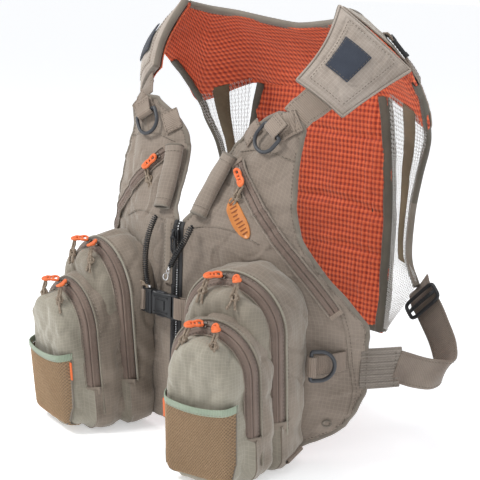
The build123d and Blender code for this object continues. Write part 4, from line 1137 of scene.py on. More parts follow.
    sb = nn("small_flap")
    ac = Acc()
    # the small pocket's face takes the lighter, greener khaki copy: painted sheen
    fabric_rings(ac, SML, dome_prof(SML, 44.0, 75.0, 13.0), KHAKI_SHEEN, s, sd + 6, amp=1.7, cap=(1.4, 26), inner=2.0, cre=1.6, scale=44)
    ac.make(nn("small_pocket_face"), sb, repl=(nn("small_face"),))
    ac = Acc()
    arch, an, ab = chamfer(SML, 44.0, True)
    zip_half(ac, arch, an, ab, s, half=8.8, lift=1.0)
    stitches(ac, arch + ab * 6.6 + an * 0.95, an, s)
    tubeg(ac, arch + ab * 9.4 + an * 0.3, 0.8, KHAKI_D, 8, s=s)
    for e_ in (0, -1):
        bevel_box(ac, (9.0, 17.6, 2.0), arch[e_] - V * 3.6 + an[e_] * 0.9, V, unit(ab[e_] + 0.0), an[e_], KHAKI_D, 0.8, 3, s)
    ac.make(nn("small_zip_front"), sb, repl=(nn("small_face_zip"),))

    # mesh pouch: open netting over the lower face, mint elastic hem, orange tag
    ac = Acc()

    def face_w(u, z):
        """Depth of the small pocket's domed face."""
        o, n_, _ = outline(SML, 200)
        d = np.sqrt(((np.stack([u, z], -1)[..., None, :] - o) ** 2).sum(-1)).min(-1)
        c = np.clip(1 - (d - 7.0) / 13.0, 0, 1)
        return 52.0 + 23.0 * np.sqrt(1 - c * c) ** 0.95 + 1.5

    def pouch(uu, zz, off):
        hw = np.interp(zz, [3.0, 8.0, 14.0, 22.0, 40.0, 115.0], [22.0, 31.0, 37.5, 42.0, 44.6, 44.2])
        u = uu * hw
        b = np.interp(zz, [3, 30, 70, 104, 116], [0.4, 2.4, 4.6, 6.2, 6.8]) * (1 - np.abs(uu) ** 2.2)
        return pk(u, face_w(u, np.maximum(zz, 4.2)) + b + off, zz)

    nu, nz = 58, 48
    uu, zz = np.linspace(-0.985, 0.985, nu), np.linspace(5.0, 103.0, nz)
    sagm = lambda u: 4.0 * (1 - u ** 2)
    A_, B_ = np.meshgrid(uu, zz)
    B_ = B_ - sagm(A_) * ((B_ - 5.0) / 98.0) ** 2
    GG = pouch(A_, B_, 1.0)
    GN = gnormals(GG)
    GN = GN if (GN[20, 30] @ W) > 0 else -GN
    # yarns running both ways on the slant, slightly proud where they cross
    def yarn(line, rr):
        tubeg(ac, line, rr, BRONZE, 5, s=s, caps=False)
    for k in range(-nz + 2, nu - 2, 2):
        for sg in (1, -1):
            pts = []
            for i in range(nz):
                j = (k + i) if sg > 0 else (nu - 1 - k - i)
                if 0 <= j < nu:
                    pts.append(GG[i, j] + GN[i, j] * (0.16 if (i % 2 == 0) == (sg > 0) else -0.16))
            if len(pts) > 3:
                yarn(np.array(pts), 0.42)
    SIZES[nn("mesh_pouch_cloth")] = cloth_size(GG)
    # a bronze sheet just behind the yarns: the mesh's own bronze tone and painted shade inside the pouch
    bk = Acc()
    slab(bk, pouch(A_[::3, ::3], B_[::3, ::3], 0.35), 0.0, 0.3, MESH_TONE_AND_SHADE, s=s)
    bk.make(nn("mesh_pouch_cloth"), sb, repl=(nn("mesh_pouch"),))
    hem = np.array([pouch(np.array(u), np.array(104.5 - sagm(u) + (0.0)), 1.4) for u in np.linspace(-1, 1, 60)])
    hg = np.stack([np.array([pouch(np.array(u), np.array(z0 - sagm(u)), 1.3 + d) for u in np.linspace(-1.0, 1.0, 60)]) for z0, d in ((99.5, 0.0), (101.2, 0.5), (103.2, 0.7), (105.5, 0.7), (107.2, 0.4))])
    slab(ac, hg, -0.6, 0.7, MINT, s=s)
    hs = np.array([pouch(np.array(u), np.array(101.0 - sagm(u)), 2.7) for u in np.linspace(-0.97, 0.97, 60)])
    stitches(ac, hs, W, s, THREAD_L)
    low = np.array([pouch(np.array(math.sin(a) * 0.985), np.array(3.5 + 44 * (1 - math.cos(a)) ** 1.0 * 0.5 + 0.0), 0.9) for a in np.linspace(-1.25, 1.25, 50)])
    tubeg(ac, low, 1.5, BIND, 9, s=s, flat=0.6)
    for k in (1, -1):
        sdp = np.array([pouch(np.array(k * 0.985), np.array(z), 0.9) for z in np.linspace(22, 107, 40)])
        tubeg(ac, sdp, 1.3, BIND, 9, s=s, flat=0.7)
    tg_ = pouch(np.array(-0.985), np.array(86.0), 1.6)
    bevel_box(ac, (3.6, 22.0, 1.8), tg_ - U * 1.4, U, V, W, PULL, 0.7, 3, s)
    ac.make(nn("mesh_pouch_net"), sb, repl=(nn("mesh_pouch"),))

    # pocket sliders with loop pulls and knotted cords
    for size, d, par in (("large", BIG, fb), ("small", SML, sb)):
        for io, deg in (("inner", -8.0), ("outer", 8.0)):
            a = math.radians(deg)
            rho = math.cos(a) * V + math.sin(a) * U
            tau = math.cos(a) * U - math.sin(a) * V
            nm = unit(rho * 0.80 + W * 0.60)
            c = pk(0, d["w0"] + 0.2, d["zc"]) + rho * (d["r"] - 2.2) + nm * 1.7
            ac = Acc()
            slider_body(ac, c, tau * (1 if deg > 0 else -1), nm, s)
            A0 = c + nm * 4.2
            k_ = -1 if io == "inner" else 1
            B0 = A0 + unit(W * 0.62 + rho * 0.10 + tau * (-0.55 if k_ < 0 else 0.42)) * 19.0
            orange_pull(ac, A0, B0, nm, s, wd=7.6, r=1.6, seed=sd + (1 if io == "inner" else 4))
            knot_cord(ac, B0 - unit(B0 - A0) * 3.0 - rho * 0.6, unit(-V + W * 0.34 + tau * (-0.22 if k_ < 0 else -0.08)), tau, s, sd + 7 + (1 if io == "inner" else 2) + (3 if size == "large" else 0), ln=30.0 if size == "small" else 32.0)
            nmn = f"{side}_{size}_slider_{io}"
            ac.make(nmn + "_pull", nmn, repl=(nmn,))

    # chest slider
    p, t = zip_at(4.0)
    n = nrm(p[0], p[2])
    n = unit(n - t * (n @ t))
    b = P(p[0], p[2], 2.6)
    ac = Acc()
    slider_body(ac, b, -t, n, s)
    orange_pull(ac, b + n * 5.0 - t * 1.0, b + n * 5.4 + t * 20.0 - np.cross(n, t) * 1.0, n, s, seed=sd + 9)
    knot_cord(ac, b + n * 5.0 + t * 19.5, -EZ * 0.9 - np.array([0.55, 0, 0]) + n * 0.04, np.array([0.75, 0, -0.5]), s, sd + 21, ln=32.0)
    ac.make(nn("chest_pull"), nn("chest_slider"), repl=(nn("chest_slider"),))

    # tunnel for the lanyard, soft and slightly collapsed
    tun = [on(np.array(x), np.array(z), 7.2) for x, z in ((45, 338), (40, 322), (35, 303), (31, 285), (29, 272))]
    TP = smooth_path(tun, 46)
    TT = unit(np.gradient(TP, axis=0))
    rings = []
    gg = waves(sd + 25, 6)
    for q, t_ in zip(TP, TT):
        n = nrm(q[0], q[2])
        n = unit(n - t_ * (n @ t_))
        w = np.cross(n, t_)
        ks = np.linspace(0, 2 * PI, 33)[:-1]
        ring = q + 11.3 * np.cos(ks)[:, None] * w + 6.9 * (np.sign(np.sin(ks)) * np.abs(np.sin(ks)) ** 0.85)[:, None] * n
        rings.append(ring + n * (gg(ring, 26.0) * 0.7)[:, None] * (np.sin(ks) > 0)[:, None])
    R = np.stack(rings)
    Rn = gnormals(R, wrap=True)
    if ((R - TP[:, None]) * Rn).sum(-1).mean() < 0:
        Rn = -Rn
    ac = Acc()
    Lr = np.concatenate([[0], np.cumsum(np.linalg.norm(np.diff(TP, axis=0), axis=1))])
    uv = np.stack([np.repeat((np.linspace(0, 60, 32))[None], len(TP), 0), np.repeat(Lr[:, None], 32, 1)], -1) / 1000
    t4 = R.reshape(-1, 3)
    F = grid_faces(len(TP), 32, wrap=True)
    f0 = F[0]
    if np.cross(t4[f0[1]] - t4[f0[0]], t4[f0[2]] - t4[f0[0]]) @ Rn[0, 0] < 0:
        F = [f[::-1] for f in F]
    ac.add(R, F, KHAKI, uv, s)
    # the tunnel's inside wall takes the black tape material: painted shade inside the tunnel
    ac.add(R - Rn * 1.5, [f[::-1] for f in F], BLACK_TAPE_AND_SHADE, uv, s)
    for i in (0, -1):
        tubeg(ac, R[i] - Rn[i] * 0.7, 1.35, BIND, 8, closed=True, s=s)
        q = smooth_path(R[5 if i == 0 else -6] + Rn[5 if i == 0 else -6] * 0.2, 60, True)
        stitches(ac, np.concatenate([q, q[:1]]), unit(np.concatenate([q, q[:1]]) - TP[5 if i == 0 else -6]), s)
    ac.make(nn("tunnel_cloth"), body, repl=(nn("lanyard_tunnel"),))

    # webbing tabs
    ac = Acc()

    def strap_on(x0, z0, dx, dz, hw, hl, off, hump=0.0, mat=WEBT, th_=2.2, n=26):
        d = np.array([dx, dz]) / math.hypot(dx, dz)
        e = np.array([d[1], -d[0]])
        a = np.linspace(-hl, hl, n)
        bb = np.linspace(-hw, hw, 12)
        xx = x0 + d[0] * a[:, None] + e[0] * bb[None]
        zz_ = z0 + d[1] * a[:, None] + e[1] * bb[None]
        h = off + hump * np.sin(PI * (a[:, None] + hl) / (2 * hl)) ** 2 + 0 * bb[None]
        q = on(xx, zz_, h + ripple(xx, zz_))
        nq = gnormals(q)
        nq = nq if nq[3, 3, 1] < 0 else -nq
        slab(ac, q, 0.0, th_, mat, nq, s=s)
        for k in (-0.86, 0.86):
            st_ = q[:, 5] * 0
            cc = np.stack([np.interp(k * hw, bb, np.arange(12)) * np.ones(n)], 0)[0]
            lo = int(cc[0])
            st_ = q[:, lo] + nq[:, lo] * (th_ + 0.1)
            stitches(ac, st_, nq[:, lo], s, THREAD)
        for k in (1, -2):
            stitches(ac, q[k] + nq[k] * (th_ + 0.1), nq[k], s, THREAD)
        return q, nq

    strap_on(64, 368, 10, 14, 9, 12.5, 0.8)
    strap_on(113.0, 382.0, 22, 15.5, 13, 14.0, 0.8, hump=0.6)
    # folded ring keeper over the bar of the chest ring
    cr = np.array([99.5556, -92.2119, 375.4352])
    cx = unit(np.array([0.8263, -0.1656, -0.5384]))
    cn = unit(np.array([0.0087, -0.9532, 0.3024]))
    cy = unit(np.array([-0.5633, -0.2545, -0.7861]))
    rows = []
    for a in np.linspace(-1.25 * PI / 2, 1.25 * PI / 2, 15):
        rows.append(cr + cy * (3.9 * math.cos(a)) + cn * (3.9 * math.sin(a)))
    back_ = [cr - cy * k - cn * 3.7 for k in (18.0, 11.0, 6.0)]
    frnt = [cr - cy * k + cn * (3.9 - 0.13 * k) for k in (5.0, 9.0, 13.0, 17.5)]
    cen = np.array(back_ + rows + frnt)
    q = np.stack([smooth_path(cen, 52) + cx * b for b in np.linspace(-10.0, 10.0, 9)], 1)
    slab(ac, q, -0.95, 0.95, WEBT, s=s)
    nq = gnormals(q)
    out_ = nq if ((q[26, 4] - cr) @ nq[26, 4]) > 0 else -nq
    for k in (-4, -7):
        stitches(ac, q[k] + out_[k] * 1.05, out_[k], s, THREAD)
    # side ring keeper: comes off the wing, round the bar
    sr = np.array([172.7305, -97.1606, 120.0])
    sy = unit(np.array([0.6578, 0.7532, 0.0]))
    sn = unit(np.array([0.7532, -0.6578, 0.0]))
    root = on(np.array(186.0), np.array(120.0), 1.2)
    mid = (root + sr) / 2 + sn * 2.0
    cen = [root + sy * 4.0 - sn * 1.0, mid]
    for a in np.linspace(0.85 * PI, -0.55 * PI, 13):
        cen.append(sr - sn * (4.0 * math.cos(a)) * -1.0 * 0 + sy * (4.0 * math.sin(a)) * 0 + (sn * math.cos(a + PI / 2) * -4.0) + (sy * math.sin(a + PI / 2) * -4.0) * 1.0)
    cen = cen[:2] + [sr + sn * (-4.0), sr - sy * 2.8 - sn * 2.8, sr - sy * 4.0, sr - sy * 2.8 + sn * 2.8, sr + sn * 4.0, sr + sy * 4.5 + sn * 3.4]
    q = np.stack([smooth_path(np.array(cen), 56) + EZ * b for b in np.linspace(-11.0, 11.0, 9)], 1)
    slab(ac, q, -0.95, 0.95, WEBT, s=s)
    ac.make(nn("webbing_tabs"), body, repl=(nn("web_tabs"),))

    # rings
    def dring(c, ux, uy, wd, ht, r, node, bod):
        rr = wd / 2
        pts = [c + ux * rr * k for k in (-0.92, -0.5, 0.0, 0.5, 0.92)]
        st_ = ht - rr
        pts += [c + ux * rr * 1.0 + uy * 2.5]
        pts += [c + ux * rr * math.cos(a) + uy * (st_ + rr * math.sin(a)) for a in np.linspace(0.12, PI - 0.12, 13)]
        pts += [c - ux * rr * 1.0 + uy * 2.5]
        a_ = Acc()
        path = smooth_path(np.array(pts), 120, True)
        tubeg(a_, path, r, SLATE, 14, closed=True, s=s, flat=0.86)
        a_.make(node + "_plastic", bod, repl=(node,))

    dring(cr, cx, cy, 30.0, 27.0, 2.45, nn("chest_ring"), nn("chest_ring"))
    dring(sr, EZ, sy, 34.0, 27.0, 2.6, nn("side_ring"), nn("side_ring"))

    # ribbed elastic tab at the belt
    xs, zs = np.linspace(201.0, 228.5, 24), np.linspace(85.5, 132.5, 40)
    A_, B_ = np.meshgrid(xs, zs)
    q = on(A_, B_, -0.4 + 0.45 * np.cos(2 * PI * (B_) / 4.8))
    nq = gnormals(q)
    nq = nq if nq[5, 5, 1] < 0 else -nq
    ac = Acc()
    slab(ac, q, -2.4, 0.6, ELAST, nq, s=s)
    for x in (205.0, 224.8):
        st_ = on(np.full(40, x), zs, 0.9)
        stitches(ac, st_, nrm(st_[:, 0], st_[:, 2]), s, THREAD)
    ac.make(nn("elastic_tab"), body, repl=(nn("belt_tab"),))

    # centre zip: chunky moulded teeth on a narrow tape
    ac = Acc()
    zz_ = np.linspace(24, 262, 120)
    q = np.stack([on(np.full(120, x), zz_, h) for x, h in ((1.2, 0.5), (2.2, 0.9), (5.0, 1.1), (8.2, 0.7))], 1)
    slab(ac, q, -0.4, 0.5, BLACK_TAPE_AND_SHADE, s=s)
    for i, z in enumerate(np.arange(26.0, 261.5, 2.9)):
        z = z + (0.0 if s > 0 else 1.45)
        c = on(np.array(2.05), np.array(z), 1.55)
        bevel_box(ac, (3.7, 1.65, 2.4), c, [1, 0, 0], [0, 0, 1], [0, -1, 0], TEETH, 0.35, 2, s)
    ac.make(nn("centre_zip_teeth"), body, repl=(nn("centre_zip"),))

    # pleat of cloth beside the centre zip
    if s < 0:
        q = np.stack([on(np.full(50, x), np.linspace(186, 262, 50), np.array(h)) for x, h in ((7.0, 1.6), (9.0, 2.6), (13.0, 3.1), (18.0, 2.7), (20.5, 1.4))], 1)
        ac = Acc()
        nq = gnormals(q)
        nq = nq if nq[5, 2, 1] < 0 else -nq
        slab(ac, q, -1.0, 0.4, KHAKI_D, nq, s=s)
        for k in (1, 3):
            stitches(ac, q[:, k] + nq[:, k] * 0.5, nq[:, k], s)
        ac.make("placket", body)
    # oval badge, blank: a rim and a raised field of small bars
    if s > 0:
        ac = Acc()
        c0 = np.array([77.0, 0, 276.0])
        dv, ev = unit(np.array([0.62, -0.79])), np.array([0.79, 0.62])
        lg, sh = 25.5, 8.8
        rings = []
        for rr, h in ((1.0, 0.2), (1.0, 1.3), (0.95, 1.7), (0.88, 1.7), (0.84, 1.2), (0.5, 1.25), (0.04, 1.3)):
            ring = []
            for a in np.linspace(0, 2 * PI, 65)[:-1]:
                aa = lg - (1 - rr) * sh * 1.2
                bb2 = sh * rr
                x = c0[0] + dv[0] * aa * math.cos(a) + ev[0] * bb2 * math.sin(a)
                z = c0[2] + dv[1] * aa * math.cos(a) + ev[1] * bb2 * math.sin(a)
                if rr < 0.6:
                    x = c0[0] + dv[0] * lg * rr * math.cos(a) + ev[0] * sh * rr * math.sin(a)
                    z = c0[2] + dv[1] * lg * rr * math.cos(a) + ev[1] * sh * rr * math.sin(a)
                ring.append(on(np.array(x), np.array(z), h + float(ripple(np.array(x), np.array(z)))))
            rings.append(ring)
        R = np.array(rings)
        F = grid_faces(len(R), 64, wrap=True)
        t4 = R.reshape(-1, 3)
        f0 = F[3 * 64]
        if np.cross(t4[f0[1]] - t4[f0[0]], t4[f0[2]] - t4[f0[0]]) @ nrm(np.array(77.0), np.array(276.0)) < 0:
            F = [f[::-1] for f in F]
        ac.add(R, F, BADGE)
        for k in np.linspace(-0.72, 0.72, 9):
            x, z = c0[0] + dv[0] * lg * k, c0[2] + dv[1] * lg * k
            c = on(np.array(x), np.array(z), 1.6 + float(ripple(np.array(x), np.array(z))))
            n_ = nrm(np.array(x), np.array(z))
            d3 = unit(np.array([dv[0], 0, dv[1]]) - n_ * (np.array([dv[0], 0, dv[1]]) @ n_))
            hgt = 9.4 * math.sqrt(max(0.0, 1 - k * k))
            bevel_box(ac, (1.3, hgt, 0.7), c, d3, np.cross(n_, d3), n_, BADGE_D, 0.25, 2)
        ac.make("badge", body)


# black tape for the centre zip, also used as painted shade on the tunnel's inside wall
BLACK_TAPE_AND_SHADE = webbing("black_tape", (0.016, 0.016, 0.017), (0.028, 0.028, 0.030), rib=0.0013, depth=0.3)
# bronze sheet behind the pouch netting: the mesh's tone and painted shade
MESH_TONE_AND_SHADE = ripstop("pouch_shadow", (0.225, 0.152, 0.092), (0.300, 0.212, 0.134), sheen=0.1)
KHAKI_F = ripstop("face_ripstop", (0.180, 0.156, 0.120), (0.255, 0.224, 0.177), sheen=0.60, cell=0.0040)
for side_ in ("left", "right"):
    build_side(side_)


# ------------------------------------------------------------ centre: slider, buckle
def build_centre():
    ac = Acc()
    c = on(np.array(0.0), np.array(247.0), 2.9)
    n = nrm(np.array(0.0), np.array(247.0))
    dn = unit(np.array([0.0, 0.0, -1.0]) - n * -n[2])
    w = np.cross(n, dn)
    bevel_box(ac, (10.5, 12.6, 3.0), c + n * 1.5, w, dn, n, BLACK, 1.0, 4)
    bevel_box(ac, (7.0, 9.0, 1.6), c + n * 3.6, w, dn, n, BLACK, 0.6, 3)
    P = smooth_path([c - dn * 4.6 + n * 3.6, c - dn * 3.6 + n * 5.9, c + n * 6.7, c + dn * 3.6 + n * 5.9, c + dn * 4.6 + n * 3.6], 22)
    tubeg(ac, P, 1.25, BLACK, 10, flat=1.0, wide=w)
    q = smooth_path([c + dn * 2.0 + n * 6.3 - w * 2.2, c + dn * 8.0 + n * 5.0 - w * 3.0, c + dn * 17.0 + n * 4.6 - w * 3.1, c + dn * 21.6 + n * 4.6, c + dn * 17.0 + n * 4.6 + w * 3.1, c + dn * 8.0 + n * 5.0 + w * 3.0, c + dn * 2.0 + n * 6.3 + w * 2.2], 60, True)
    tubeg(ac, q, 1.15, BLACK, 10, closed=True, flat=0.85)
    for k in (10.0, 13.2, 16.4):
        bevel_box(ac, (5.0, 1.5, 1.5), c + dn * k + n * 4.7, w, dn, n, BLACK, 0.45, 2)
    ac.make("centre_slider_body", "centre_slider", repl=("centre_zip_slider",))

    bk = np.array([-22.0, -151.0, 164.0])
    X, Y_, Z_ = np.array([1.0, 0, 0]), EZ, np.array([0.0, -1.0, 0])

    def at(x, y, z):
        return bk + X * x + Y_ * y + Z_ * z
    # socket: barrel body with two side windows, a lip and the webbing bar
    ac = Acc()
    rings = []
    ks = np.linspace(0, 2 * PI, 49)[:-1]
    for x, hy, hz in ((0.0, 13.6, 4.4), (0.6, 14.6, 4.9), (3.4, 15.0, 5.1), (4.4, 14.4, 4.7), (8.0, 14.3, 4.8), (16.0, 14.2, 4.9), (24.0, 14.5, 4.6), (29.0, 15.0, 3.6), (30.4, 15.0, 2.6)):
        ring = []
        for k in ks:
            cy, cz = math.cos(k), math.sin(k)
            ring.append(at(x, hy * np.sign(cy) * abs(cy) ** 0.42, hz * np.sign(cz) * abs(cz) ** 0.5))
        rings.append(ring)
    R = np.array(rings)
    F = grid_faces(len(R), 48, wrap=True)
    t = R.reshape(-1, 3)
    f0 = F[0]
    cen = at(2, 0, 0)
    if np.cross(t[f0[1]] - t[f0[0]], t[f0[2]] - t[f0[0]]) @ (t[f0[0]] - cen) < 0:
        F = [f[::-1] for f in F]
    ac.add(R, F, BLACK)
    # mouth: recess the opening
    inn = R[0] * 0.82 + at(0.0, 0, 0) * 0.18
    deep = inn + X * 20.0
    M = np.stack([R[0], inn, deep])
    Fm = grid_faces(3, 48, wrap=True)
    tm = M.reshape(-1, 3)
    f0 = Fm[48]
    if np.cross(tm[f0[1]] - tm[f0[0]], tm[f0[2]] - tm[f0[0]]) @ (at(5, 0, 0) - tm[f0[0]]) < 0:
        Fm = [f[::-1] for f in Fm]
    ac.add(M, Fm, BLACK)
    ac.add(deep, [tuple(range(48)) if np.cross(deep[1] - deep[0], deep[2] - deep[1]) @ X < 0 else tuple(range(48))[::-1]], BLACK)
    # closed back end, raised panel with a groove, thumb windows on the long sides
    ac.add(R[-1], [tuple(range(48)) if np.cross(R[-1][1] - R[-1][0], R[-1][2] - R[-1][1]) @ X > 0 else tuple(range(48))[::-1]], BLACK)
    bevel_box(ac, (15.0, 12.0, 1.4), at(14.5, 0, 5.2), X, Y_, Z_, BLACK, 0.6, 3)
    for k in (-1, 1):
        bevel_box(ac, (12.0, 1.6, 5.0), at(13.0, k * 14.3, 0), X, Y_, Z_, SLATE, 0.6, 3)
        bevel_box(ac, (22.0, 1.3, 0.9), at(15.5, k * 9.2, 5.2), X, Y_, Z_, BLACK, 0.35, 2)
    for y in (-13.6, 13.6):
        bevel_box(ac, (10.0, 2.8, 4.4), at(34.0, y, 0), X, Y_, Z_, BLACK, 0.9, 3)
    tubeg(ac, np.array([at(38.0, y, 0) for y in (-14.6, -7, 0, 7, 14.6)]), 1.9, BLACK, 12)
    tubeg(ac, np.array([at(32.4, y, 0.4) for y in (-13, 0, 13)]), 1.5, BLACK, 10)
    ac.make("socket_body", "buckle_socket", repl=("buckle_socket",))
    # plug: shoulder block, three prongs with barbs, webbing bar
    ac = Acc()
    bevel_box(ac, (8.8, 30.0, 9.6), at(-4.8, 0, 0), X, Y_, Z_, BLACK, 1.8, 4)
    bevel_box(ac, (2.0, 22.0, 0.9), at(-4.8, 0, 5.0), X, Y_, Z_, BLACK, 0.35, 2)
    for y in (-8.6, 0.0, 8.6):
        bevel_box(ac, (19.5, 3.3, 4.2), at(8.6, y, 0), X, Y_, Z_, BLACK, 0.8, 3)
    for y in (-13.6, 13.6):
        bevel_box(ac, (10.0, 2.8, 4.4), at(-13.6, y, 0), X, Y_, Z_, BLACK, 0.9, 3)
    tubeg(ac, np.array([at(-17.4, y, 0) for y in (-14.6, -7, 0, 7, 14.6)]), 1.9, BLACK, 12)
    tubeg(ac, np.array([at(-11.6, y, 0.4) for y in (-13, 0, 13)]), 1.5, BLACK, 10)
    ac.make("plug_body", "right_front", repl=("buckle_plug",))
    # webbing wrapped round the plug's bar and sewn to the right front
    ac = Acc()
    wr = [at(-50.0, 0, -8.5), at(-40.0, 0, -7.0), at(-28.0, 0, -5.2), at(-22.0, 0, -3.6)]
    wr += [at(-17.4 + 3.2 * math.sin(a), 0, -3.2 * math.cos(a)) for a in np.linspace(0, PI, 8)]
    wr += [at(-23.0, 0, 3.0), at(-31.0, 0, 1.2), at(-41.0, 0, -2.6), at(-46.0, 0, -4.6)]
    cen = smooth_path(np.array(wr), 70)
    G = np.stack([cen + Y_ * b * (1.0 if i else 1.0) for i, b in enumerate(np.linspace(-12.0, 12.0, 13))], 1)
    G = G + (np.sin(np.linspace(0, 9, 70))[:, None] * np.linspace(-1, 1, 13)[None] * 0.35)[..., None] * Z_
    slab(ac, G, -0.95, 0.95, WEBT)
    N = gnormals(G)
    N = N if (N[60, 6] @ Z_) > 0 else -N
    for k in (61, 56):
        stitches(ac, G[k] + N[k] * 1.05, N[k], 1, THREAD)
    for b in (1, 11):
        stitches(ac, G[44:66, b] + N[44:66, b] * 1.05, N[44:66, b], 1, THREAD)
    ac.make("plug_webbing", "right_front")
    # and round the socket's bar
    ac = Acc()
    wr = [at(56.0, 0, -8.2), at(50.0, 0, -5.6), at(44.0, 0, -4.0)]
    wr += [at(38.0 - 3.2 * math.sin(a), 0, -3.2 * math.cos(a)) for a in np.linspace(0, PI, 8)]
    wr += [at(44.0, 0, 2.8), at(51.0, 0, 0.6), at(55.0, 0, -1.6)]
    cen = smooth_path(np.array(wr), 60)
    G = np.stack([cen + Y_ * b for b in np.linspace(-12.0, 12.0, 13)], 1)
    slab(ac, G, -0.95, 0.95, WEBT)
    N = gnormals(G)
    N = N if (N[50, 6] @ Z_) > 0 else -N
    for k in (54, 49):
        stitches(ac, G[k] + N[k] * 1.05, N[k], 1, THREAD)
    ac.make("socket_webbing", "buckle_socket")
    # tuft of cord tied at the lanyard's end
    ac = Acc()
    e = LANYARDS["right_lanyard"][1][-1]
    rg = np.random.RandomState(5)
    for i in range(5):
        a = e + np.array([rg.uniform(-1.5, 1.5), -0.4, rg.uniform(-1, 1)])
        b = a + np.array([rg.uniform(-15, -5), rg.uniform(-1.6, 0.6), rg.uniform(-4, 5)])
        tubeg(ac, smooth_path([a, a * 0.6 + b * 0.4 + np.array([0, -2.0, 2.5]), b], 18), 0.95, PARA, 6)
    for a in np.linspace(-0.8, 0.8, 3):
        tubeg(ac, smooth_path([e + np.array([2.8 * math.cos(k), 2.8 * math.sin(k) * 0.6, a * 1.6]) for k in np.linspace(0, 2 * PI, 13)[:-1]], 24, True), 0.85, PARA, 6, closed=True)
    bevel_box(ac, (5.0, 3.6, 3.0), e + np.array([3.4, -1.2, 0.6]), [1, 0, 0], [0, 0, 1], [0, -1, 0], STEEL, 1.0, 3)
    ac.make("cord_tuft", "right_front")


build_centre()


# ------------------------------------------------------------ back: yoke, pad, netting, bindings
def bez(a, b, c, t):
    a, b, c = (np.asarray(v, float) for v in (a, b, c))
    t = np.asarray(t, float)[..., None]
    return a * (1 - t) ** 2 + 2 * b * t * (1 - t) + c * t * t


YK = [((120.5, -4.0, 507.0), (165.0, 12.0, 482.0), (195.0, 31.5, 442.5)), ((121.5, 18.0, 503.0), (166.0, 52.0, 470.0), (191.0, 76.0, 400.0)),
      ((113.0, 40.0, 499.0), (150.0, 80.0, 455.0), (183.0, 97.5, 371.0)), ((88.0, 58.0, 495.0), (103.0, 104.0, 458.0), (110.0, 123.0, 406.0)),
      ((46.0, 69.0, 488.0), (52.0, 114.0, 456.0), (52.0, 128.5, 407.0)), ((0.0, 73.0, 483.0), (0.0, 116.0, 455.0), (0.0, 129.5, 407.0))]
BP = [(403.5, 104.0), (372.0, 110.0), (330.0, 116.0), (290.0, 120.0), (248.0, 123.0), (200.0, 124.0), (150.0, 124.0), (97.0, 123.0)]
EDGE = [(184.0, 97.5, 368.5), (178.5, 106.0, 345.0), (165.5, 117.0, 310.0), (156.0, 122.0, 260.0), (158.0, 119.0, 205.0), (178.0, 108.0, 176.0)]
INNER = [(112.5, 124.0, 368.5), (116.5, 126.0, 345.0), (121.0, 127.0, 310.0), (125.0, 127.0, 260.0), (126.5, 126.5, 205.0), (126.5, 126.5, 176.0), (126.0, 124.0, 104.0)]


def yoke(nc, nt, c0=0.0, c1=10.0, more=0.0):
    """Grid (columns, rows) of the yoke, collar first in each column; more lets the middle run down over the pad."""
    cols = [bez(a, b, c, np.linspace(0, 1 + more * k, nt)) for (a, b, c), k in zip(YK, (0, 0, 0, 0.6, 1, 1))]
    cols = cols + [q * np.array([-1.0, 1, 1]) for q in cols[-2::-1]]
    Q = np.array(cols)
    Q = np.concatenate([2 * Q[:1] - Q[1:2], Q, 2 * Q[-1:] - Q[-2:-1]])
    out = []
    for a in np.linspace(c0, c1, nc):
        i = min(int(a), 9)
        f = a - i
        p0, p1, p2, p3 = Q[i], Q[i + 1], Q[i + 2], Q[i + 3]
        lin = p1 * (1 - f) + p2 * f
        cat = 0.5 * (2 * p1 + (p2 - p0) * f + (2 * p0 - 5 * p1 + 4 * p2 - p3) * f ** 2 + (3 * p1 - p0 - 3 * p2 + p3) * f ** 3)
        out.append(0.35 * lin + 0.65 * cat)
    return np.array(out)


def relief(uv, amp):
    a, b = 2 * PI * uv[..., 0] / MESH_A, 2 * PI * uv[..., 1] / MESH_B
    f = np.cos(a + b) * np.cos(a - b)
    return amp * (np.clip(f, -0.6, 1.0) * 0.5 + 0.5)


def binding(acc, P, O, N, th, wd, mat, s=1, proud=1.1, closed=False):
    """Folded binding over a cloth edge: P on the edge, O outwards in the cloth, N towards the seen side, cloth from 0 to -th along N."""
    prof = [(-wd, 0.15), (-wd + 0.5, proud * 0.8), (-wd * 0.5, proud * 1.1), (-0.5, proud), (1.1, proud * 0.45), (1.9, -th * 0.5), (1.1, -th - proud * 0.45), (-0.5, -th - proud), (-wd * 0.5, -th - proud * 1.1), (-wd + 0.5, -th - proud * 0.8), (-wd, -th - 0.15)]
    rows = [P + O * a + N * b for a, b in prof]
    R = np.stack(rows, 1)
    L = np.concatenate([[0], np.cumsum(np.linalg.norm(np.diff(P, axis=0), axis=1))])
    pl = np.concatenate([[0], np.cumsum(np.hypot(*np.diff(np.array(prof), axis=0).T))])
    uv = np.stack([np.repeat(pl[None], len(P), 0), np.repeat(L[:, None], len(prof), 1)], -1) / 1000
    F = grid_faces(len(P), len(prof), wrap=True)
    t = R.reshape(-1, 3)
    f0 = F[2]
    if np.cross(t[f0[1]] - t[f0[0]], t[f0[2]] - t[f0[0]]) @ N[0] < 0:
        F = [f[::-1] for f in F]
    acc.add(R, F, mat, uv, s)
    for e, sg in ((0, -1), (-1, 1)):
        T = (P[1] - P[0]) if e == 0 else (P[-1] - P[-2])
        f = tuple(range(len(prof)))
        r = R[e]
        nf = np.cross(r[3] - r[0], r[6] - r[3]) @ T * sg
        acc.add(r, [f if nf > 0 else f[::-1]], mat, None, s)


